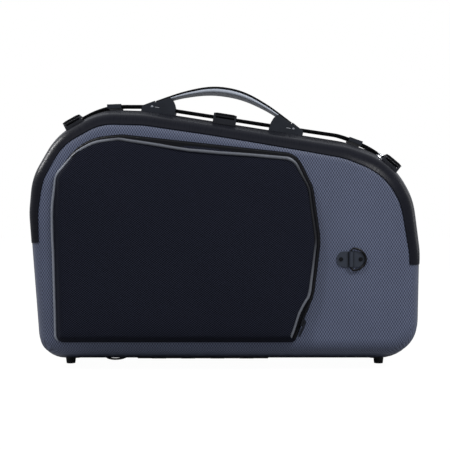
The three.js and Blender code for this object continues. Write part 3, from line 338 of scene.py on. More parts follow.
def embossed_abs():
    """Vacuum formed ABS, embossed: grey-blue and satin, paler on the dots, smooth where it is drawn out."""
    material, tree, surface = start_material(
        "vacuum_formed_embossed_abs",
        {"Base Color": linear("#4d5468"), "Roughness": 0.42, "Specular IOR Level": 0.35},
    )
    sheet = add(tree, "ShaderNodeUVMap", uv_map="sheet").outputs["UV"]
    split = add(tree, "ShaderNodeSeparateXYZ", {"Vector": sheet})
    across = wave(tree, split.outputs["X"], DOT_PITCH)
    up = wave(tree, split.outputs["Y"], DOT_ROW * 2)
    grid = add(tree, "ShaderNodeMath", {0: across, 1: up}, operation="MULTIPLY").outputs[0]
    dome = add(tree, "ShaderNodeMapRange", {"Value": grid, "From Min": -0.9, "From Max": 0.9}).outputs["Result"]
    place = add(tree, "ShaderNodeTexCoord")
    where = place.outputs["Object"]
    lean = add(tree, "ShaderNodeSeparateXYZ", {"Vector": place.outputs["Normal"]}).outputs["Y"]
    lean = add(tree, "ShaderNodeMath", {0: lean}, operation="ABSOLUTE").outputs[0]
    leaning = {"Value": lean, "From Min": 0.28, "From Max": 0.62}
    pressed = add(tree, "ShaderNodeMapRange", leaning, interpolation_type="SMOOTHSTEP").outputs["Result"]
    rise = add(tree, "ShaderNodeMath", {0: dome, 1: 0.62}, operation="SUBTRACT").outputs[0]
    dome = add(tree, "ShaderNodeMath", {0: rise, 1: pressed, 2: 0.62}, operation="MULTIPLY_ADD").outputs[0]
    cloud = add(tree, "ShaderNodeTexNoise", {"Vector": where, "Scale": 9.0, "Detail": 3.0}).outputs["Fac"]
    grain = add(tree, "ShaderNodeTexNoise", {"Vector": where, "Scale": 1400.0, "Detail": 2.0}).outputs["Fac"]
    grit = add(tree, "ShaderNodeMath", {0: grain, 1: 0.08, 2: dome}, operation="MULTIPLY_ADD").outputs[0]
    patterned(tree, surface, dome, ("#222637", "#697189"), grit, 0.4, 0.4)
    dots = surface.inputs["Base Color"].links[0].from_socket
    tone = add(
        tree,
        "ShaderNodeMapRange",
        {"Value": cloud, "From Min": 0.3, "From Max": 0.7, "To Min": 0.93, "To Max": 1.07},
    ).outputs["Result"]
    shaded = add(tree, "ShaderNodeHueSaturation", {"Color": dots, "Value": tone}).outputs["Color"]
    tree.links.new(shaded, surface.inputs["Base Color"])
    gloss = add(tree, "ShaderNodeMapRange", {"Value": grain, "To Min": 0.36, "To Max": 0.5}).outputs["Result"]
    tree.links.new(gloss, surface.inputs["Roughness"])
    return material


shell_abs = embossed_abs()
base_shell, base_outer = shell_piece("base_shell_formed", BASE_FORM, shell_abs)
sheet_map(base_shell, base_outer, shell_stations, shell_turns)
cut_by(base_shell, hinge_notch())
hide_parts("base_shell")
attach(base_shell, "base")


# Lid shell: the shallower front half, formed from the same embossed sheet with more draft,
# so its walls slope in from the rim before they round over to the flat front.

lid_shell, lid_outer = shell_piece("lid_shell_formed", LID_FORM, shell_abs)
sheet_map(lid_shell, lid_outer, shell_stations, shell_turns)
cut_by(lid_shell, hinge_notch())
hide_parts("lid_shell")
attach(lid_shell, "lid")


# Edge bands: smooth strips of satin black ABS bonded over the upper edge of each shell.
# Each wraps from the rim over the wall and part of the shoulder, and ends square on the side.

BAND_THICKNESS = 1.2
BAND_RIM_MARGIN = 3
BAND_STEPS = 14
BAND_START = (True, 0, 0.8)
BAND_END = (True, 9, 0.08)
BAND_LIP = 0.35
BAND_LIP_REACH = 2.4
BAND_EASE = 0.45 * BAND_THICKNESS
# How far the band reaches over the shoulder, by its share of the way from end to end.
LID_BAND_REACH = [
    (0, 0.66), (0.1, 0.78), (0.35, 0.76), (0.5, 0.72), (0.68, 0.77), (0.78, 0.84), (0.9, 0.86), (1, 0.77)
]
BASE_BAND_REACH = [(0, 0.6), (1, 0.6)]


def table_at(table, at):
    places, values = zip(*table)
    return float(np.interp(at, places, values))


def band_stations():
    """The outline's stations from one end of the band to the other, over the top."""
    inside = []
    for station in shell_stations:
        on_edge, i, share = station
        after_start = share > BAND_START[2] if on_edge and i == BAND_START[1] else i > BAND_START[1]
        before_end = i < BAND_END[1] or (i == BAND_END[1] and not on_edge)
        if after_start and before_end:
            inside.append(station)
    return [BAND_START] + inside + [BAND_END]


def band_section(form, reach):
    """One loop round the strip: its bonded side, then its outer side with rounded edges."""
    _, centre_inset = shoulder_centre(form)
    end = math.acos((centre_inset - reach * centre_inset) / form["shoulder"])
    rim = SEAM_HALF_GAP + BAND_RIM_MARGIN
    top = GAP + BAND_THICKNESS
    back = end - BAND_EASE / form["shoulder"]
    inner = [(rim, wall_inset(form, -GAP, rim))]
    outer = [(rim + BAND_EASE, wall_inset(form, -top, rim + BAND_EASE))]
    for k in range(BAND_STEPS + 1):
        share = k / BAND_STEPS
        inner.append(shoulder_spot(form, -GAP, form["draft"] + (end - form["draft"]) * share))
        angle = form["draft"] + (back - form["draft"]) * share
        near_edge = max(0.0, 1 - (back - angle) * form["shoulder"] / BAND_LIP_REACH)
        outer.append(shoulder_spot(form, -top - BAND_LIP * math.sin(near_edge * math.pi / 2) ** 2, angle))
    nose = shoulder_spot(form, -top + BAND_EASE, end)
    heel = (rim, wall_inset(form, -top + BAND_EASE, rim))
    return inner + [nose] + outer[::-1] + [heel]


def band_piece(name, form, reach_table, material):
    stations = band_stations()
    spots = [outline_spot(shell_turns, s, 0)[0] for s in stations]
    steps = [0.0] + [float(np.linalg.norm(b - a)) for a, b in zip(spots, spots[1:])]
    along = np.cumsum(steps) / sum(steps)
    rings = []
    for station, share in zip(stations, along):
        section = band_section(form, table_at(reach_table, share))
        rings.append(ring_of(shell_turns, [(station, inset, form["side"] * depth) for depth, inset in section]))
    return run_loft(name, rings, material, 60)


def run_loft(name, rings, material, smooth_angle):
    """A loft with a UV map in metres: along the run, and round the section."""
    piece = loft(name, rings, material, smooth_angle=smooth_angle)
    layer = piece.data.uv_layers.new(name="run")
    points = [v.co for v in piece.data.vertices]
    size = len(rings[0])
    along = [0.0]
    for r in range(1, len(rings)):
        along.append(along[-1] + (points[r * size] - points[(r - 1) * size]).length)
    around = [0.0]
    middle = (len(rings) // 2) * size
    for i in range(1, size):
        around.append(around[-1] + (points[middle + i] - points[middle + i - 1]).length)
    for loop in piece.data.loops:
        r, i = divmod(loop.vertex_index, size)
        if r < len(rings):
            layer.data[loop.index].uv = (along[r], around[i])
    return piece


def satin_abs():
    """Extruded ABS: near black and satin, drawn with faint lines across the strip."""
    material, tree, surface = start_material(
        "extruded_satin_abs",
        {"Base Color": linear("#15161b"), "Roughness": 0.3, "Specular IOR Level": 0.07},
    )
    where = add(tree, "ShaderNodeTexCoord").outputs["Object"]
    haze = add(tree, "ShaderNodeTexNoise", {"Vector": where, "Scale": 28.0, "Detail": 2.0}).outputs["Fac"]
    run = add(tree, "ShaderNodeUVMap", uv_map="run").outputs["UV"]
    drawn = add(tree, "ShaderNodeMapping", {"Vector": run, "Scale": (900.0, 40.0, 1.0)}).outputs["Vector"]
    lines = add(tree, "ShaderNodeTexNoise", {"Vector": drawn, "Scale": 1.0, "Detail": 3.0}).outputs["Fac"]
    worn = add(
        tree,
        "ShaderNodeMapRange",
        {"Value": lines, "From Min": 0.35, "From Max": 0.7, "To Min": 0.24, "To Max": 0.4},
    ).outputs["Result"]
    tree.links.new(worn, surface.inputs["Roughness"])
    both = add(tree, "ShaderNodeMath", {0: haze, 1: 0.5, 2: lines}, operation="MULTIPLY_ADD").outputs[0]
    patterned(tree, surface, haze, ("#15161c", "#1b1c23"), both, 0.12, 0.2)
    return material


band_abs = satin_abs()
for side, form, reach in (("base", BASE_FORM, BASE_BAND_REACH), ("lid", LID_FORM, LID_BAND_REACH)):
    band = band_piece(f"{side}_band_strip", form, reach, band_abs)
    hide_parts(f"{side}_band")
    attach(band, side)


# Seam gasket and rim tongue: a strip of black EPDM rubber seals the joint all the way round,
# and a folded aluminium tongue behind it slides into the lid and keeps the halves in line.


def one_grain(name, shader, scale, detail, colours, strength, depth):
    """A finish whose only pattern is one fine grain, in its tone and in its relief."""
    material, tree, surface = start_material(name, shader)
    where = add(tree, "ShaderNodeTexCoord").outputs["Object"]
    grain = add(tree, "ShaderNodeTexNoise", {"Vector": where, "Scale": scale, "Detail": detail}).outputs["Fac"]
    patterned(tree, surface, grain, colours, grain, strength, depth)
    return material


def dark_skin(name, colour, paler, roughness, metallic=0.0, shine=0.5):
    """A dark coated or moulded skin, named for its make: even and satin, finely pebbled."""
    material, tree, surface = start_material(
        name,
        {"Base Color": linear(colour), "Roughness": roughness, "Metallic": metallic, "Specular IOR Level": shine},
    )
    where = add(tree, "ShaderNodeTexCoord").outputs["Object"]
    pebble = add(tree, "ShaderNodeTexNoise", {"Vector": where, "Scale": 900.0, "Detail": 2.0}).outputs["Fac"]
    patch = add(tree, "ShaderNodeTexNoise", {"Vector": where, "Scale": 60.0, "Detail": 4.0}).outputs["Fac"]
    gloss = add(tree, "ShaderNodeMapRange", {"Value": patch, "To Min": roughness - 0.06, "To Max": roughness + 0.08})
    tree.links.new(gloss.outputs["Result"], surface.inputs["Roughness"])
    patterned(tree, surface, patch, (colour, paler), pebble, 0.15, 0.1)
    return material


def dress(name, material, bevel=0.0, sharp=40, segments=2):
    """Gives a CAD piece its finish, and rounds and smooths its edges with modifiers."""
    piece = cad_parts[name]
    mesh = piece.data
    if "custom_normal" in mesh.attributes:
        mesh.attributes.remove(mesh.attributes["custom_normal"])
    mesh.materials.clear()
    mesh.materials.append(material)
    mesh.polygons.foreach_set("use_smooth", [True] * len(mesh.polygons))
    weld = piece.modifiers.new("weld", "WELD")
    weld.merge_threshold = 0.00001
    if bevel:
        ease = piece.modifiers.new("ease", "BEVEL")
        ease.width = bevel * MM
        ease.segments = segments
        ease.limit_method = "ANGLE"
        ease.angle_limit = math.radians(sharp)
        ease.use_clamp_overlap = True
        even = piece.modifiers.new("even", "WEIGHTED_NORMAL")
        even.keep_sharp = True
    else:
        split = piece.modifiers.new("split", "EDGE_SPLIT")
        split.split_angle = math.radians(sharp)
        split.use_edge_sharp = False
    return piece


# Moulded EPDM rubber: soft black and dull, with a fine dusty mottling.
rubber = one_grain(
    "moulded_epdm_rubber",
    {"Base Color": linear("#141618"), "Roughness": 0.68, "IOR": 1.52},
    260.0, 5.0, ("#0f1113", "#1d2023"), 0.2, 0.2,
)
tongue_coat = dark_skin("anodised_black_aluminium", "#1b1d21", "#26282d", 0.38, 0.85)
dress("seam_gasket", rubber, sharp=30)
dress("rim_tongue", tongue_coat, sharp=30)


# Linings: blocks of firm foam shaped to the horn, under a short pile plush.
# Each half has a wide round recess for the body of the horn and a smaller one for its bell.

LINING_SETBACK = 7.5
HORN_RECESS = {"x": -117, "z": 187, "radius": 141, "top": 149}
BELL_RECESS = {"x": 128, "z": 164, "radius": 112, "top": 120}
RECESS_DEPTHS = {"base": (80, 64), "lid": (66, 64)}
LINING_GRID = 4.0
LINING_LIP = 3
LINING_PUFF = 0.8
LINING_CROWN = 0.8
LINING_CROWN_REACH = 30
RECESS_LIP = 2
RECESS_SLOPE = 10


def outline_distance(points, loop):
    """Signed distance from points to a closed loop, negative inside."""
    best = np.full(len(points), 1e9)
    inside = np.zeros(len(points), bool)
    for a, b in zip(loop, np.roll(loop, -1, axis=0)):
        edge = b - a
        share = np.clip(((points - a) @ edge) / max(edge @ edge, 1e-12), 0, 1)
        best = np.minimum(best, np.linalg.norm(points - a - share[:, None] * edge, axis=1))
        crosses = (a[1] > points[:, 1]) != (b[1] > points[:, 1])
        at = a[0] + (points[:, 1] - a[1]) * edge[0] / (edge[1] if abs(edge[1]) > 1e-12 else 1e-12)
        inside ^= crosses & (points[:, 0] < at)
    return np.where(inside, -best, best)


def filled_face(loop, spacing, nearness):
    """Points of a square grid inside a closed loop, and the triangles that join them to it."""
    low, high = loop.min(0), loop.max(0)
    columns = np.arange(low[0] + spacing / 2, high[0], spacing)
    rows = np.arange(low[1] + spacing / 2, high[1], spacing)
    grid = np.array([(x, z) for x in columns for z in rows])
    grid = grid[outline_distance(grid, loop) < -spacing * 0.6]
    coords = [Vector(p) for p in loop] + [Vector(p) for p in grid]
    size = len(loop)
    edges = [(i, (i + 1) % size) for i in range(size)]
    spots, _, triangles, _, _, _ = delaunay_2d_cdt(coords, edges, [list(range(size))], 1, nearness)
    return np.array([(spot.x, spot.y) for spot in spots]), triangles


def weld(piece, distance):
    """Joins the points that lie closer than a distance in millimetres, and turns all faces outwards."""
    build = bmesh.new()
    build.from_mesh(piece.data)
    bmesh.ops.remove_doubles(build, verts=build.verts, dist=distance * MM)
    bmesh.ops.recalc_face_normals(build, faces=build.faces)
    build.to_mesh(piece.data)
    build.free()


def plush():
    """Short pile polyester plush over foam: deep blue-grey nap that lightens at grazing angles."""
    material, tree, surface = start_material(
        "short_pile_plush",
        {
            "Base Color": linear("#20232c"),
            "Roughness": 0.95,
            "Sheen Weight": 0.6,
            "Sheen Roughness": 0.45,
            "Sheen Tint": linear("#8d94a6"),
        },
    )
    where = add(tree, "ShaderNodeTexCoord").outputs["Object"]
    pile = add(tree, "ShaderNodeTexNoise", {"Vector": where, "Scale": 1100.0, "Detail": 3.0}).outputs["Fac"]
    brushed = add(
        tree, "ShaderNodeTexNoise", {"Vector": where, "Scale": 22.0, "Detail": 4.0, "Distortion": 0.8}
    ).outputs["Fac"]
    both = add(tree, "ShaderNodeMath", {0: pile, 1: 0.5, 2: brushed}, operation="MULTIPLY_ADD").outputs[0]
    tone = add(
        tree,
        "ShaderNodeMapRange",
        {"Value": both, "From Min": 0.45, "From Max": 1.05, "To Min": 0.0, "To Max": 1.0},
    ).outputs["Result"]
    patterned(tree, surface, tone, ("#171920", "#2b2f3a"), pile, 0.6, 0.6)
    return material


def lining_piece(name, form, depths, material):
    """A closed foam block whose face dips into the recesses with rounded lips."""
    rim = wall_section(form, WALL + GAP, LINING_SETBACK + LINING_LIP, 6, 2)
    rim = [(LINING_SETBACK, wall_inset(form, WALL + GAP, LINING_SETBACK) + LINING_LIP)] + rim
    rings = [outline_ring(shell_turns, shell_stations, inset, form["side"] * depth) for depth, inset in rim]
    lip = rings[0]
    size = len(shell_stations)
    vertices = [point for ring in rings for point in ring]
    faces = loft_faces(len(rings), size, False, capped=False)
    faces.append(tuple(range((len(rings) - 1) * size, len(rings) * size)))
    loop = np.array([(p[0], p[2]) for p in lip])
    spots, tris = filled_face(loop, LINING_GRID * MM, 1e-7)
    face_points = spots / MM
    dip = np.zeros(len(face_points))
    for recess, depth in zip((HORN_RECESS, BELL_RECESS), depths):
        centre = np.array([recess["x"] + MIDDLE_X / MM, recess["z"]])
        radial = np.linalg.norm(face_points - centre, axis=1)
        reach = recess["top"] + RECESS_LIP
        slope = np.clip((reach - radial) / (reach - recess["radius"] + RECESS_SLOPE), 0, 1)
        eased = slope * slope * (3 - 2 * slope)
        dip = np.maximum(dip, eased * (depth - LINING_SETBACK))
    edge = -outline_distance(face_points * MM, loop) / MM
    crown = LINING_CROWN * np.clip(edge / LINING_CROWN_REACH, 0, 1) * (dip < 0.5)
    depth = LINING_SETBACK + dip + LINING_PUFF - crown
    depth[:size] = LINING_SETBACK
    start = len(vertices)
    vertices += [(p[0] * MM, SEAM_Y + form["side"] * d * MM, p[1] * MM) for p, d in zip(face_points, depth)]
    faces += [tuple(start + i for i in tri) for tri in tris]
    piece = mesh_piece(name, vertices, faces, material, smooth_angle=80)
    weld(piece, 0.01)
    return piece


lining_plush = plush()
for side, form in (("base", BASE_FORM), ("lid", LID_FORM)):
    lining = lining_piece(f"{side}_lining_foam", form, RECESS_DEPTHS[side], lining_plush)
    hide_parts(f"{side}_lining")
    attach(lining, side)


# Piano hinge: two leaves of folded steel riveted under the bottom edge, with nine knuckles
# rolled round one long pin. The leaves are zinc plated and blackened, the pin bright nickel.

hinge_steel = dark_skin("black_zinc_plated_steel", "#1c1e22", "#2a2c31", 0.36, 0.8)
dress("base_hinge_leaf", hinge_steel, sharp=35)
dress("lid_hinge_leaf", hinge_steel, sharp=35)


def polished_steel():
    """Nickel plated steel: bright, with fine polishing lines and a few dull spots."""
    material, tree, surface = start_material(
        "nickel_plated_steel",
        {"Base Color": linear("#c9ccd0"), "Roughness": 0.18, "Metallic": 1.0},
    )
    where = add(tree, "ShaderNodeTexCoord").outputs["Object"]
    lines = add(tree, "ShaderNodeTexNoise", {"Vector": where, "Scale": 700.0, "Detail": 4.0}).outputs["Fac"]
    gloss = add(tree, "ShaderNodeMapRange", {"Value": lines, "To Min": 0.12, "To Max": 0.26}).outputs["Result"]
    tree.links.new(gloss, surface.inputs["Roughness"])
    patterned(tree, surface, lines, ("#b9bcc1", "#d8dadd"))
    return material


nickel = polished_steel()
dress("hinge_pin", nickel, sharp=35)


# Feet: four tapered rubber feet, each held by a screw in the recess under it.

for place in ("front_left", "front_right", "rear_left", "rear_right"):
    dress(f"foot_{place}", rubber, bevel=1.3, sharp=45, segments=3)
    dress(f"foot_screw_{place}", nickel, bevel=0.3, sharp=45)


# Handle brackets: two blocks of glass filled nylon screwed down over the bands, which take the
# ends of the handle and pin them with a rivet each. The strap's black tail lies over each slope,
# and a small bright strip shows in each slot.

CREST_STEP = 0.17
BAND_TOP = GAP + BAND_THICKNESS
HANDLE_X = -0.0078 * SHELL_WIDTH
HANDLE_Y = 25
HANDLE_HALF_SPAN = 104
HANDLE_RISE = 45.6
HANDLE_BASE = 9.5
BRACKET_START = 0.6923 * HANDLE_HALF_SPAN
BRACKET_LENGTH = 51
BRACKET_WIDTH = 32
BRACKET_TAIL = [(0.64, 0.343), (1.0, 0.14)]
TAIL_THICKNESS = 0.6
TAIL_MARGIN = 0.6
TAIL_SINK = 0.1
TAIL_SHARES = np.linspace(0.65, 0.985, 8)
SLOT_SHARE = 0.55
SLOT_STRIP = (6.6, 1.3)
SLOT_STRIP_SINK = 0.4
SLOT_STRIP_HALF_DEPTH = 0.5
SMALL_CORNER = 0.3
MARK_HEIGHT = 9.8

crest_spots = [outline_spot(shell_turns, s, 0)[0] for s in outline_stations(shell_turns, CREST_STEP, 1)]
crest_start = min(range(len(crest_spots)), key=lambda i: crest_spots[i][0])


def crest_frame(x):
    """Height and slope of the shell's top edge over a place along the case."""
    for a, b in zip(crest_spots[crest_start:], crest_spots[crest_start + 1 :]):
        if a[0] <= x <= b[0]:
            angle = math.atan2(b[1] - a[1], b[0] - a[0])
            return np.array([x, a[1] + (b[1] - a[1]) * (x - a[0]) / (b[0] - a[0])]), angle
    raise ValueError("no crest there")


def over_crest(frame_at, along, up):
    """A point of the drawing's own plane, given along the top edge and above it."""
    (x, z), angle = frame_at
    x += along * math.cos(angle) - up * math.sin(angle)
    z += along * math.sin(angle) + up * math.cos(angle)
    return np.array([x, z])


def smooth_run(points, parts):
    """More points on a smooth curve through the given ones."""
    points = [np.array(p, float) for p in points]
    padded = [2 * points[0] - points[1]] + points + [2 * points[-1] - points[-2]]
    run = []
    for i in range(1, len(padded) - 2):
        a, b, c, d = padded[i - 1 : i + 3]
        for k in range(parts):
            t = k / parts
            bend = (2 * a - 5 * b + 4 * c - d) * t * t + (3 * b - a - 3 * c + d) * t**3
            run.append(0.5 * (2 * b + (c - a) * t + bend))
    run.append(points[-1])
    return run


def sweep(name, centres, sections, material, smooth_angle=50):
    """A flat section swept along a run in the plane across the case."""
    tangents = [centres[min(i + 1, len(centres) - 1)] - centres[max(i - 1, 0)] for i in range(len(centres))]
    rings = []
    for centre, tangent, section in zip(centres, tangents, sections):
        tangent = unit(tangent)
        up = np.array([-tangent[1], tangent[0]])
        spots = [(y, centre + up * v) for y, v in section]
        rings.append([placed(spot[0], y, spot[1]) for y, spot in spots])
    return run_loft(name, rings, material, smooth_angle)


def rounded_section(half, low, high, middle_y, crown=0.0, corner=1.0, steps=3, across=6):
    """A flat strap's section: rounded edges, and a face that may crown or sink."""
    corner = min(corner, (high - low) / 2)
    points = []
    for cx, cz, start in ((half, high, 0), (-half, high, 1), (-half, low, 2), (half, low, 3)):
        sx, sz = math.copysign(corner, -cx), corner * (-1 if cz == high else 1)
        for k in range(steps + 1):
            angle = (start + k / steps) * math.pi / 2
            points.append((cx + sx + corner * math.cos(angle), cz + sz + corner * math.sin(angle)))
        if start in (0, 2):
            a = points[-1]
            b = (-a[0], a[1])
            for k in range(1, across):
                share = k / across
                rise = crown * math.sin(share * math.pi)
                points.append((a[0] + (b[0] - a[0]) * share, a[1] + rise * (1 if start == 0 else -1)))
    return [(middle_y + y, z) for y, z in points]


def rounded_edges(material, radius):
    """Rounds every hard edge of a moulded or cast finish in the light that it catches."""
    tree = material.node_tree
    ease = add(tree, "ShaderNodeBevel", {"Radius": radius * MM}, samples=4)
    for bump in [n for n in tree.nodes if n.bl_idname == "ShaderNodeBump"]:
        tree.links.new(ease.outputs["Normal"], bump.inputs["Normal"])
    return material


nylon = rounded_edges(dark_skin("glass_filled_nylon_moulding", "#191c22", "#23272f", 0.42, shine=0.25), 0.9)
for side in ("left", "right"):
    dress(f"handle_bracket_{side}", nylon, sharp=32)
    dress(f"bracket_rivet_{side}", nickel, sharp=40)

handle_frame = crest_frame(HANDLE_X)


# The webbing's ribs lie 1.5 mm apart along it and its cords 1.1 mm apart across it.
WEBBING_RIB = 1.5
WEBBING_CORD = 1.1


def black_webbing():
    """Woven nylon webbing: near black, dull, with fine ribs across and cords along it."""
    material, tree, surface = start_material(
        "woven_nylon_webbing",
        {"Base Color": linear("#101013"), "Roughness": 0.85, "Specular IOR Level": 0.12},
    )
    run = add(tree, "ShaderNodeUVMap", uv_map="run").outputs["UV"]
    split = add(tree, "ShaderNodeSeparateXYZ", {"Vector": run})
    ribs = wave(tree, split.outputs["X"], WEBBING_RIB, "SINE")
    cords = wave(tree, split.outputs["Y"], WEBBING_CORD, "SINE")
    cross = add(tree, "ShaderNodeMath", {0: ribs, 1: cords}, operation="MULTIPLY").outputs[0]
    weave = add(tree, "ShaderNodeMapRange", {"Value": cross, "From Min": -1.0, "From Max": 1.0}).outputs["Result"]
    where = add(tree, "ShaderNodeTexCoord").outputs["Object"]
    fuzz = add(tree, "ShaderNodeTexNoise", {"Vector": where, "Scale": 500.0, "Detail": 4.0}).outputs["Fac"]
    mixed = add(tree, "ShaderNodeMath", {0: fuzz, 1: 0.5, 2: weave}, operation="MULTIPLY_ADD").outputs[0]
    shade = add(tree, "ShaderNodeMapRange", {"Value": mixed, "From Min": 0.1, "From Max": 1.4}).outputs["Result"]
    patterned(tree, surface, shade, ("#060608", "#131417"), mixed, 0.7, 0.3)
    return material


webbing = black_webbing()
for side, sign in (("left", -1), ("right", 1)):
    spots = []
    for share in TAIL_SHARES[::sign]:
        up = BAND_TOP + table_at(BRACKET_TAIL, share) * BRACKET_LENGTH
        spots.append(over_crest(handle_frame, sign * (BRACKET_START + share * BRACKET_LENGTH), up))
    half = BRACKET_WIDTH / 2 - TAIL_MARGIN
    section = rounded_section(half, -TAIL_SINK, TAIL_THICKNESS, HANDLE_Y, corner=SMALL_CORNER)
    tail = sweep(f"strap_tail_{side}", spots, [section] * len(spots), webbing)
    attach(tail, "base")
    along = sign * (BRACKET_START + SLOT_SHARE * BRACKET_LENGTH)
    strip_run = [over_crest(handle_frame, along + SLOT_STRIP[0] * share, MARK_HEIGHT) for share in (-0.5, 0, 0.5)]
    flat = SLOT_STRIP[1] / 2
    front = HANDLE_Y - BRACKET_WIDTH / 2 + SLOT_STRIP_SINK
    section = rounded_section(SLOT_STRIP_HALF_DEPTH, -flat, flat, front, corner=SMALL_CORNER)
    strip = sweep(f"slot_strip_{side}", strip_run, [section] * len(strip_run), nickel)
    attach(strip, "base")


# Handle: a wide strap of webbing over a moulded grip of soft grey PVC, both swept along one
# arch whose ends run into the brackets.

HANDLE_ARCH = [(0, 1), (0.192, 0.969), (0.385, 0.864), (0.616, 0.664), (0.808, 0.45), (1, 0.213)]
HANDLE_END_WIDTH = 30
HANDLE_GRIP_WIDTH = 42
HANDLE_STRAP = 2.6
GRIP_THICKNESS = 6
GRIP_END_THICKNESS = 1.4
GRIP_HALF_SPAN = 84
GRIP_INSET = 0.4
GRIP_SEAT = 0.05
HANDLE_PARTS = 8

arch_half = [(s * HANDLE_HALF_SPAN, HANDLE_BASE + up * HANDLE_RISE) for s, up in HANDLE_ARCH]
arch_knots = [(-s, up) for s, up in arch_half[:0:-1]] + arch_half
arch_run = smooth_run([over_crest(handle_frame, along, up) for along, up in arch_knots], HANDLE_PARTS)


def arch_along(centre):
    """How far along the handle's own span a point of the arch lies."""
    spot, angle = handle_frame
    return float((centre - spot) @ np.array([math.cos(angle), math.sin(angle)]))


def arch_half_width(along):
    share = min(1, abs(along) / GRIP_HALF_SPAN)
    swell = math.cos(share * math.pi / 2) ** 2
    return (HANDLE_END_WIDTH + (HANDLE_GRIP_WIDTH - HANDLE_END_WIDTH) * swell) / 2


def grip_depth(along):
    share = min(1, abs(along) / GRIP_HALF_SPAN)
    return GRIP_END_THICKNESS + (GRIP_THICKNESS - GRIP_END_THICKNESS) * math.cos(share * math.pi / 2)


def moulded_grip():
    """Soft PVC moulding: mid grey, satin, with a fine leather grain that catches the light."""
    material, tree, surface = start_material(
        "soft_pvc_moulding",
        {"Base Color": linear("#a9afba"), "Roughness": 0.36, "IOR": 1.5},
    )
    where = add(tree, "ShaderNodeTexCoord").outputs["Object"]
    grain = add(
        tree, "ShaderNodeTexVoronoi", {"Vector": where, "Scale": 700.0}, feature="DISTANCE_TO_EDGE"
    ).outputs["Distance"]
    patch = add(tree, "ShaderNodeTexNoise", {"Vector": where, "Scale": 45.0, "Detail": 4.0}).outputs["Fac"]
    patterned(tree, surface, patch, ("#a0a7b3", "#b8bec8"), grain, 0.25, 0.2)
    return material


strap_sections = [
    rounded_section(arch_half_width(arch_along(c)), -HANDLE_STRAP, 0, HANDLE_Y, crown=0.5, corner=1.1)
    for c in arch_run
]
handle_strap = sweep("handle_strap_webbing", arch_run, strap_sections, webbing)
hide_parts("handle_strap")
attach(handle_strap, "base")

grip_run = [c for c in arch_run if abs(arch_along(c)) <= GRIP_HALF_SPAN + 0.5]
grip_sections = []
for c in grip_run:
    half, thick = arch_half_width(arch_along(c)) - GRIP_INSET, grip_depth(arch_along(c))
    low, high = -HANDLE_STRAP - GAP - thick, -HANDLE_STRAP - GRIP_SEAT
    grip_sections.append(rounded_section(half, low, high, HANDLE_Y, crown=0.6, corner=thick * 0.48, steps=4))
grip = sweep("handle_grip_moulding", grip_run, grip_sections, moulded_grip())
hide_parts("handle_grip")
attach(grip, "base")


# Top strap: one webbing strap along the top edge, held off it by sliders and brackets, with a
# welded steel ring in an anchor at each end for a shoulder strap.

STRAP_LEFT = -0.365 * SHELL_WIDTH
STRAP_RIGHT = 0.3914 * SHELL_WIDTH
STRAP_WIDTH = 26
STRAP_THICKNESS = 3
STRAP_STEPS = 44
STRAP_Y = 25
STRAP_HEIGHT = 10.6
STRAP_HEIGHTS = [(0, 0.66), (0.06, 0.72), (0.12, 0.9), (0.2, 1), (0.62, 1.03), (0.86, 1.12), (0.94, 0.88), (1, 0.7)]
RING_WIRE = 1.5
RING_LENGTH = 11
RING_WIDTH = 25.6
RING_CORNER = 3


def strap_spot(share):
    """The top edge below a share of the strap's length, and the strap's height over it."""
    at = crest_frame(STRAP_LEFT + (STRAP_RIGHT - STRAP_LEFT) * share)
    return at, table_at(STRAP_HEIGHTS, share) * STRAP_HEIGHT


strap_knots = [strap_spot(i / STRAP_STEPS) for i in range(STRAP_STEPS + 1)]
strap_run = smooth_run([over_crest(at, 0, height) for at, height in strap_knots], 4)
flat = STRAP_THICKNESS / 2
strap_section = rounded_section(STRAP_WIDTH / 2, -flat, flat, STRAP_Y, corner=0.9, crown=0.15)
top_strap = sweep("top_strap_webbing", strap_run, [strap_section] * len(strap_run), webbing)
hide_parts("top_strap")
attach(top_strap, "base")


def wire_piece(name, path, outs, wire, material, sides=14):
    """A closed loop of round wire. Each path point has the direction outwards in its plane."""
    rings = []
    for i, (point, out) in enumerate(zip(path, outs)):
        along = Vector(path[(i + 1) % len(path)]) - Vector(path[i - 1])
        side = along.normalized().cross(Vector(out)).normalized()
        ring = []
        for s in range(sides):
            turn = s / sides * 2 * math.pi
            ring.append(Vector(point) + (Vector(out) * math.cos(turn) + side * math.sin(turn)) * wire * MM)
        rings.append(ring)
    return loft(name, rings, material, closed_along=True, smooth_angle=80)


def rounded_loop(length, width, corner, steps=8):
    """Points and outward directions of a rounded rectangle about the origin."""
    spots = []
    for quarter, (sx, sy) in enumerate(((1, 1), (-1, 1), (-1, -1), (1, -1))):
        for k in range(steps + 1):
            angle = (quarter + k / steps) * math.pi / 2
            out = (math.cos(angle), math.sin(angle))
            centre = (sx * (length / 2 - corner), sy * (width / 2 - corner))
            spots.append(((centre[0] + out[0] * corner, centre[1] + out[1] * corner), out))
    return spots


for side, sign, end in (("left", -1, 0), ("right", 1, 1)):
    at, height = strap_spot(end)
    shift = sign * (RING_LENGTH / 2 + GAP + RING_WIRE)
    path, outs = [], []
    for (u, y), (ou, oy) in rounded_loop(RING_LENGTH, RING_WIDTH, RING_CORNER):
        x, z = over_crest(at, u + shift, height)
        path.append(placed(x, STRAP_Y + y, z))
        outs.append((ou * math.cos(at[1]), oy, ou * math.sin(at[1])))
    ring = wire_piece(f"top_ring_{side}_wire", path, outs, RING_WIRE, nickel)
    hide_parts(f"top_ring_{side}")
    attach(ring, "base")
    dress(f"ring_anchor_{side}", nylon, sharp=32)
    dress(f"strap_slider_{side}", nylon, sharp=32)


# Draw latches: each has a grey base riveted to the lid, a black lever that pivots on it, and a
# claw that hooks over a keeper on the base and pulls the halves together. Base, keeper and lever
# are powder coated steel: an even satin skin, a little glossier on the black lever.

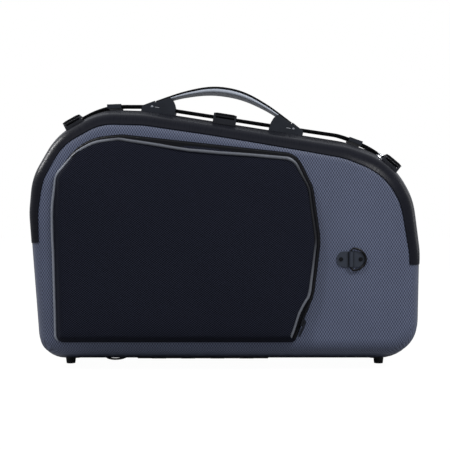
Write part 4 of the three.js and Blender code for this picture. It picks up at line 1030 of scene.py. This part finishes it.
latch_black = rounded_edges(dark_skin("black_powder_coated_steel", "#0f1013", "#17181c", 0.3, 0.2, 0.3), 0.6)
latch_grey = rounded_edges(dark_skin("dark_grey_powder_coated_steel", "#1c1d22", "#26282e", 0.36, 0.3, 0.3), 0.5)
for side in ("left", "middle", "right"):
    dress(f"latch_base_{side}", latch_grey, sharp=32)
    dress(f"latch_lever_{side}", latch_black, sharp=32)
    dress(f"latch_claw_{side}", nickel, sharp=32)
    dress(f"latch_keeper_{side}", latch_grey, sharp=32)


# Ring fittings: a pressed plate whose middle is rolled into a barrel, two screws, and a ring of
# bent wire. One is on the lid's front and one under the base. The plate's dark nickel is grey and
# satin, and the wire and screws are plated black, so they stand out on it.

# How far the painted shade in the plate's creases looks for nearby surfaces, in metres.
CREASE_SHADE_REACH = 0.0022


def paint_crease_shade(material):
    """Paints shade into the creases of a pressing from ambient occlusion, so its folds read as dark lines."""
    tree = material.node_tree
    surface = tree.nodes["Principled BSDF"]
    coat = surface.inputs["Base Color"].links[0].from_socket
    # Painted shade: the coat is mixed to near black where ambient occlusion finds surfaces close by.
    open_sky = add(tree, "ShaderNodeAmbientOcclusion", {"Distance": CREASE_SHADE_REACH}, samples=8).outputs["AO"]
    clear = add(tree, "ShaderNodeMapRange", {"Value": open_sky, "From Min": 0.55, "From Max": 0.95}).outputs["Result"]
    tone = add(tree, "ShaderNodeMix", {"Factor": clear, "A": linear("#050507"), "B": coat}, data_type="RGBA")
    tree.links.new(tone.outputs["Result"], surface.inputs["Base Color"])
    return material


# The plate gets painted shade in its creases and folds, from ambient occlusion.
pressed_nickel = paint_crease_shade(rounded_edges(dark_skin("dark_nickel_pressing", "#2b303a", "#363c47", 0.4, 0.2, 0.4), 0.4))
plated_wire = dark_skin("black_plated_wire", "#060608", "#0d0d10", 0.3, 0.2, 0.3)
oxide_screw = rounded_edges(dark_skin("black_oxide_screw", "#15161a", "#1f2127", 0.22, 0.6), 0.3)
for label, body in (("front", "lid"), ("under", "base")):
    dress(f"{label}_ring_plate", pressed_nickel, sharp=32)
    dress(f"{label}_ring_screw_a", oxide_screw, sharp=40)
    dress(f"{label}_ring_screw_b", oxide_screw, sharp=40)
    dress(f"{label}_ring", plated_wire, sharp=60)


# Pocket: a soft bag of woven polyester sewn to the lid's front. Its face crowns over foam and
# falls to a zip along the top and right, with a grey piping sewn along the zip's inner edge.

POCKET_WIDTH = 0.6569 * SHELL_WIDTH
POCKET_HEIGHT = 0.7956 * SHELL_HEIGHT
POCKET_LEFT = -0.4241 * SHELL_WIDTH
POCKET_BOTTOM = FOOT_CLEARANCE + 0.0896 * SHELL_HEIGHT
POCKET_CORNERS = [
    (0.027, 0, 0.026),
    (0.015, 0.612, 0.2),
    (0.022, 0.808, 0.073),
    (0.125, 0.981, 0.19),
    (0.265, 1, 0.16),
    (0.91, 0.908, 0.075),
    (0.972, 0.747, 0.14),
    (1, 0.49, 0.2),
    (0.975, 0.226, 0.2),
    (0.903, 0, 0.02),
]
POCKET_RISE = 22
POCKET_STEP = 0.09
# Inset from the outline, then height over the lid, both as shares of the rise.
POCKET_WALL = [
    (0, 0.014), (-0.02, 0.1), (0, 0.19), (0.06, 0.29), (0.15, 0.46),
    (0.24, 0.62), (0.31, 0.73), (0.4, 0.8), (0.5, 0.845)
]
# Distance from the outline in millimetres, then height as a share of the rise.
POCKET_CROWN = [(11, 0.845), (16, 0.88), (26, 0.93), (44, 0.975), (80, 1.03), (150, 1.08)]
POCKET_GRID = 4.5
# Waves in the cloth, each by its scale in millimetres, its seed and its height. The wall's grow
# from the lid to a share of the rise, and the face's from its edge over 30 mm.
WALL_SWAY = (26, 3.0, 0.5)
WALL_STIFF = 0.4
FACE_SWELLS = [(95, 1.0, 1.6), (40, 5.0, 0.5)]
FACE_EASE = 30
ZIP_FIRST_CORNER = 3
ZIP_LAST_CORNER = 9
# The sloping side that carries the zip, from low to high, as insets and heights by the rise.
ZIP_SLOPE = [(0, 0.18), (0.3, 0.73)]
ZIP_FROM = 0.14
ZIP_TO = 0.86
# These run by corner number from the bottom left: the piping's radius, its place from the foot
# of the wall (0) to the seam (1), and how far the loose cloth draws it in from the seam.
PIPING_RADII = [
    (0, 1.8), (1.6, 2.2), (2.2, 2), (3, 1.8), (4.5, 2.1), (5.2, 2.3), (5.8, 1.6), (7.5, 1.5), (8.2, 2), (9.2, 1.6)
]
PIPING_CLIMB = [(0, 0), (1.6, 0), (2.0, 0.12), (2.5, 0.42), (3.0, 0.62), (3.25, 1)]
PIPING_DRAWN = [
    (4.2, 0), (4.5, 0.5), (4.58, 2.4), (4.66, 4.6), (4.72, 5.4), (4.78, 4.8), (4.88, 2.8), (5, 1.4),
    (5.5, 0.8), (6, 0), (8.4, 0.5), (8.6, 2.6), (8.7, 3.1), (8.9, 1.4), (9.5, 0)
]
# Painted light and shade along the piping by the same places, as in the photo: 1 is pale grey, 0 near black.
PIPING_PAINTED_SHADE = [
    (0, 1), (2.5, 1), (3.2, 0.7), (4, 0.3), (4.6, 0.42), (5, 0.42),
    (5.2, 0.55), (5.6, 0.15), (6, 0), (7.2, 0), (7.9, 0.38), (9.3, 0.45)
]
# The piping's inset and height at the foot of the wall, where it starts and ends, and how far
# it stands in and up from the zip's edge.
PIPING_FOOT = [(0, -1.5), (1, -2.4), (1.6, -2.4), (2, -1.2)]
PIPING_FOOT_UP = 2.4
PIPING_FROM = 0.2
PIPING_TO = 9.3
PIPING_SEAT = (0.5, 1.4)
PIPING_SIDES = 12
# The cord tapers at each end, and its thickness and its path vary a little, by scale, seed and height.
PIPING_TAPERS = (0.2, 0.05)
PIPING_TIP = 0.05
PIPING_PLUMP = (18, 4.0, 0.12)
PIPING_WANDER = (30, 9.0, 0.7)
ZIP_SEAM_INSET = ZIP_SLOPE[1][0] * POCKET_RISE + 0.6
TAPE_LIFT = 0.1
TAPE_THICKNESS = 0.6
COIL_HALF_WIDTH = 0.15
COIL_HEIGHT = 0.9
COIL_SEAT = 0.5

pocket_turns = outline_turns(
    [
        (POCKET_LEFT + x * POCKET_WIDTH, POCKET_BOTTOM + z * POCKET_HEIGHT, r * POCKET_WIDTH)
        for x, z, r in POCKET_CORNERS
    ]
)
pocket_stations = outline_stations(pocket_turns, POCKET_STEP, 10)


# The two diagonal ribs of the cloth, in turns per millimetre along the case and up it.
TWILL_WAVES = [(0.283, -0.294), (0.228, 0.333)]


def woven_polyester():
    """Woven polyester: blue-black, matt, with two diagonal ribs 2.45 mm apart and fine yarns."""
    material, tree, surface = start_material(
        "woven_polyester_600_denier",
        {"Base Color": linear("#1b1d28"), "Roughness": 0.92, "Specular IOR Level": 0.08},
    )
    where = add(tree, "ShaderNodeTexCoord").outputs["Object"]
    split = add(tree, "ShaderNodeSeparateXYZ", {"Vector": where})
    waves = []
    for rise_x, rise_z in TWILL_WAVES:
        x = add(tree, "ShaderNodeMath", {0: split.outputs["X"], 1: rise_x}, operation="MULTIPLY").outputs[0]
        z = add(tree, "ShaderNodeMath", {0: split.outputs["Z"], 1: rise_z, 2: x}, operation="MULTIPLY_ADD").outputs[0]
        waves.append(wave(tree, z, 1.0))
    weave = add(tree, "ShaderNodeMath", {0: waves[0], 1: waves[1]}, operation="ADD").outputs[0]
    level = add(tree, "ShaderNodeMapRange", {"Value": weave, "From Min": -1.6, "From Max": 1.6}).outputs["Result"]
    yarn = add(tree, "ShaderNodeTexNoise", {"Vector": where, "Scale": 800.0, "Detail": 3.0}).outputs["Fac"]
    mixed = add(tree, "ShaderNodeMath", {0: yarn, 1: 0.3, 2: level}, operation="MULTIPLY_ADD").outputs[0]
    shade = add(tree, "ShaderNodeMapRange", {"Value": mixed, "From Min": 0.3, "From Max": 1.15}).outputs["Result"]
    patterned(tree, surface, shade, ("#010103", "#292c3a"), mixed, 0.6, 0.4)
    return material


def ripple(x, z, scale, seed, height):
    """Smooth seeded waves, of a scale and a height in millimetres."""
    return noise.noise(Vector((x / scale + seed, z / scale - seed, seed * 1.7))) * height


def pocket_face():
    """Wall rings by station, then a crowned face of fine triangles inside them."""
    rings = []
    for inset, up in POCKET_WALL:
        ring = []
        for station in pocket_stations:
            spot, normal = outline_spot(pocket_turns, station, inset * POCKET_RISE)
            sway = ripple(spot[0], spot[1], *WALL_SWAY) * min(1, up / WALL_STIFF)
            spot = spot + normal * sway
            ring.append(placed(spot[0], -LID_FORM["depth"] - up * POCKET_RISE, spot[1]))
        rings.append(ring)
    size = len(pocket_stations)
    vertices = [point for ring in rings for point in ring]
    faces = loft_faces(len(rings), size, False, capped=False)
    faces.append(tuple(range(size))[::-1])
    loop = np.array([((p[0] - MIDDLE_X) / MM, p[2] / MM) for p in rings[-1]])
    outline = np.array([outline_spot(pocket_turns, s, 0)[0] for s in pocket_stations])
    points, tris = filled_face(loop, POCKET_GRID, 1e-6)
    reach = -outline_distance(points, outline)
    start = len(vertices)
    for (x, z), inside in zip(points, reach):
        up = table_at(POCKET_CROWN, inside) * POCKET_RISE
        broad = sum(ripple(x, z, *swell) for swell in FACE_SWELLS)
        up += broad * min(1, max(0, inside - POCKET_CROWN[0][0]) / FACE_EASE)
        vertices.append(placed(x, -LID_FORM["depth"] - up, z))
    faces += [tuple(start + i for i in tri) for tri in tris]
    return vertices, faces


pocket_cloth = woven_polyester()
pocket_points, pocket_faces = pocket_face()
pocket = mesh_piece("pocket_bag", pocket_points, pocket_faces, pocket_cloth, smooth_angle=70)
weld(pocket, 0.02)
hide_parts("pocket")
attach(pocket, "lid")


def slope_spot(share, lift):
    """Inset and height on the pocket's sloping side, raised off it."""
    low, high = np.array(ZIP_SLOPE) * POCKET_RISE
    along = high - low
    normal = unit((-along[1], along[0]))
    return low + along * share + normal * lift


def outline_place(station):
    """A station's place round the outline, counted in corners."""
    on_edge, corner, share = station
    return corner + (0.5 + 0.5 * share if on_edge else 0.5 * share)


def face_height(inset):
    """Height of the pocket's cloth over the lid at an inset from its outline."""
    wall = [(a * POCKET_RISE, b) for a, b in POCKET_WALL]
    return table_at(wall + POCKET_CROWN[1:], inset) * POCKET_RISE


def drawn_seam(station):
    """Inset and height of the zip's inner edge, drawn in where the cloth is loose."""
    inset = ZIP_SEAM_INSET + table_at(PIPING_DRAWN, outline_place(station))
    return inset, face_height(inset)


zip_end = (False, ZIP_LAST_CORNER, 0.0)
zip_run = [s for s in pocket_stations if ZIP_FIRST_CORNER <= s[1] < ZIP_LAST_CORNER or s == zip_end]


def pocket_run(name, stations, section, material, smooth_angle=60):
    """A section of insets and heights over the lid, given for each station, carried along the outline."""
    rings = []
    for station in stations:
        steps = [(station, inset, -LID_FORM["depth"] - up) for inset, up in section(station)]
        rings.append(ring_of(pocket_turns, steps))
    return run_loft(name, rings, material, smooth_angle)


ZIP_TOOTH = 1.4


def zip_coil():
    """Nylon zip coil: black, slightly glossy, with a tooth every 1.4 mm."""
    material, tree, surface = start_material(
        "moulded_nylon_zip_coil",
        {"Base Color": linear("#08090b"), "Roughness": 0.5, "Specular IOR Level": 0.2},
    )
    run = add(tree, "ShaderNodeUVMap", uv_map="run").outputs["UV"]
    split = add(tree, "ShaderNodeSeparateXYZ", {"Vector": run})
    teeth = wave(tree, split.outputs["X"], ZIP_TOOTH, "SINE")
    level = add(tree, "ShaderNodeMapRange", {"Value": teeth, "From Min": -1.0, "From Max": 1.0}).outputs["Result"]
    patterned(tree, surface, level, ("#040405", "#121317"), level, 0.9, 0.5)
    return material


# Woven zip tape: dense black polyester, matt, with fine cross threads.
tape_cloth = one_grain(
    "woven_polyester_zip_tape",
    {"Base Color": linear("#08080b"), "Roughness": 0.85, "Specular IOR Level": 0.1},
    1100.0, 2.0, ("#040406", "#101116"), 0.4, 0.2,
)


def tape_section(station):
    inset, up = drawn_seam(station)
    return [
        slope_spot(ZIP_FROM, TAPE_LIFT),
        slope_spot(ZIP_TO, TAPE_LIFT),
        (inset, up + TAPE_LIFT),
        (inset, up + TAPE_LIFT + TAPE_THICKNESS),
        slope_spot(ZIP_TO, GAP + TAPE_THICKNESS),
        slope_spot(ZIP_FROM, GAP + TAPE_THICKNESS),
    ]


tape = pocket_run("zip_tape", zip_run, tape_section, tape_cloth)
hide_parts("pocket_zip")
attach(tape, "lid")
coil_section = [
    slope_spot(0.5 + COIL_HALF_WIDTH * math.cos(t), GAP + COIL_SEAT + COIL_HEIGHT * math.sin(t))
    for t in np.linspace(0, math.pi, 8)
]
coil = pocket_run("zip_coil", zip_run, lambda station: coil_section, zip_coil())
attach(coil, "lid")


def piping_cloth():
    """Piping: a cord wrapped in coated grey cloth, satin, with faint puckers from its seam, and painted shade along
    its length.
    """
    material, tree, surface = start_material(
        "coated_cloth_piping",
        {"Base Color": linear("#5b606c"), "Roughness": 0.45, "Specular IOR Level": 0.4},
    )
    run = add(tree, "ShaderNodeUVMap", uv_map="run").outputs["UV"]
    pucker = add(tree, "ShaderNodeTexNoise", {"Vector": run, "Scale": 350.0, "Detail": 3.0}).outputs["Fac"]
    patterned(tree, surface, pucker, ("#6a6e78", "#a6abb6"), pucker, 0.5, 0.5)
    grey = surface.inputs["Base Color"].links[0].from_socket
    # Painted shade: the grey is mixed towards near black by place along the pocket, where the cord turns from the
    # light.
    proud = add(tree, "ShaderNodeUVMap", uv_map="proud").outputs["UV"]
    proud = add(tree, "ShaderNodeSeparateXYZ", {"Vector": proud}).outputs["X"]
    tone = add(tree, "ShaderNodeMix", {"Factor": proud, "A": linear("#101116"), "B": grey}, data_type="RGBA")
    tree.links.new(tone.outputs["Result"], surface.inputs["Base Color"])
    return material


def piping_section(station):
    """One round section of the piping: plump beside the zip, thin at the foot of the left wall."""
    place = outline_place(station)
    spot, _ = outline_spot(pocket_turns, station, 0)
    radius = table_at(PIPING_RADII, place) * (1 + ripple(spot[0], spot[1], *PIPING_PLUMP))
    start, stop = (place - PIPING_FROM) / PIPING_TAPERS[0], (PIPING_TO - place) / PIPING_TAPERS[1]
    radius *= max(PIPING_TIP, min(1, start, stop))
    inset, up = drawn_seam(station)
    climb = table_at(PIPING_CLIMB, place)
    foot = table_at(PIPING_FOOT, place)
    inset = foot + (inset + PIPING_SEAT[0] - foot) * climb + ripple(spot[0], spot[1], *PIPING_WANDER)
    up = PIPING_FOOT_UP + (up + PIPING_SEAT[1] - PIPING_FOOT_UP) * climb
    turns = [s / PIPING_SIDES * 2 * math.pi for s in range(PIPING_SIDES)]
    return [(inset + radius * math.cos(turn), up - radius * math.sin(turn)) for turn in turns]


piping_stations = [s for s in pocket_stations if PIPING_FROM < outline_place(s) < PIPING_TO]
piping = pocket_run("pocket_piping_cord", piping_stations, piping_section, piping_cloth(), smooth_angle=80)
# Each point of the piping carries its painted shade, by its place along the pocket, in a UV map.
proud = piping.data.uv_layers.new(name="proud")
for loop in piping.data.loops:
    station = piping_stations[loop.vertex_index // PIPING_SIDES]
    proud.data[loop.index].uv = (table_at(PIPING_PAINTED_SHADE, outline_place(station)), 0)
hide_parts("pocket_piping")
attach(piping, "lid")

# The slider and its pull are cast zinc, lacquered black: dark, half metallic and softly worn.
slider_zinc = rounded_edges(dark_skin("black_cast_zinc", "#1d1f23", "#2b2d33", 0.35, 0.7), 0.5)
dress("zip_slider", slider_zinc, sharp=32)
dress("zip_pull", slider_zinc, sharp=32)


# Studio: a pale floor and a white room, a wide soft light above the front, a key light on each
# side of the camera and a rim light behind each end, and a level camera before the lid.

CAMERA_DISTANCE = 1300
CAMERA_HEIGHT = 208
CAMERA_X = 0.45
CAMERA_LENS = 69.56
FLOOR_HALF = 12.0
# Each light's place, the point it faces, its width and height in metres, and its power in watts.
LIGHTS = {
    "overhead_softbox": ((0.1, -1.3, 2.6), (0, 0, 0.2), (2.4, 1.2), 8),
    "right_key": ((1.45, -1.6, 1.85), (0.1, 0, 0.22), (0.7, 0.7), 36),
    "left_key": ((-1.3, -1.6, 1.97), (-0.1, 0, 0.3), (0.4, 0.4), 16),
    "left_rim": ((-1.75, 0.75, 1.35), (-0.25, 0, 0.33), (0.35, 0.7), 21),
    "right_rim": ((2.2, 1.2, 0.8), (0.25, 0, 0.2), (0.4, 1.2), 4),
}


def floor_material():
    """Pale paper floor that stays near white to the camera and keeps a faint shadow."""
    material = bpy.data.materials.new("pale_paper_floor")
    material.use_nodes = True
    tree = material.node_tree
    tree.nodes.clear()
    path = add(tree, "ShaderNodeLightPath")
    paper = add(tree, "ShaderNodeBsdfDiffuse", {"Color": (0.34, 0.34, 0.34, 1)}).outputs["BSDF"]
    bright = add(tree, "ShaderNodeEmission", {"Color": (1, 1, 1, 1), "Strength": 1.22}).outputs["Emission"]
    seen = add(tree, "ShaderNodeMath", {0: path.outputs["Is Camera Ray"], 1: 0.8}, operation="MULTIPLY").outputs[0]
    mixed = add(tree, "ShaderNodeMixShader", {0: seen, 1: paper, 2: bright}).outputs[0]
    output = add(tree, "ShaderNodeOutputMaterial")
    tree.links.new(mixed, output.inputs["Surface"])
    return material


floor_corners = [(FLOOR_HALF * x, FLOOR_HALF * y, 0) for x, y in ((-1, -1), (1, -1), (1, 1), (-1, 1))]
floor = mesh_piece("floor", floor_corners, [(0, 1, 2, 3)], floor_material())

world = bpy.data.worlds.new("studio_white")
bpy.context.scene.world = world
world.use_nodes = True
sky = world.node_tree
sky.nodes.clear()
ray = add(sky, "ShaderNodeLightPath").outputs["Is Camera Ray"]
dim = add(sky, "ShaderNodeBackground", {"Color": (0.9, 0.93, 1.0, 1), "Strength": 0.45}).outputs["Background"]
white = add(sky, "ShaderNodeBackground", {"Color": (1, 1, 1, 1), "Strength": 1.0}).outputs["Background"]
both = add(sky, "ShaderNodeMixShader", {0: ray, 1: dim, 2: white}).outputs[0]
sky_output = add(sky, "ShaderNodeOutputWorld")
sky.links.new(both, sky_output.inputs["Surface"])


for name, (place, aim, size, power) in LIGHTS.items():
    data = bpy.data.lights.new(name, "AREA")
    data.shape = "RECTANGLE"
    data.size, data.size_y = size
    data.energy = power
    light = bpy.data.objects.new(name, data)
    light.location = place
    light.rotation_euler = (Vector(aim) - Vector(place)).to_track_quat("-Z", "Y").to_euler()
    bpy.context.scene.collection.objects.link(light)

camera_data = bpy.data.cameras.new("camera")
camera_data.sensor_width = 36
camera_data.lens = CAMERA_LENS
camera_data.clip_end = 50
camera = bpy.data.objects.new("camera", camera_data)
camera.location = placed(CAMERA_X, -CAMERA_DISTANCE, CAMERA_HEIGHT)
camera.rotation_euler = (math.pi / 2, 0, 0)
bpy.context.scene.collection.objects.link(camera)
bpy.context.scene.camera = camera
bpy.context.scene.view_settings.view_transform = "Standard"
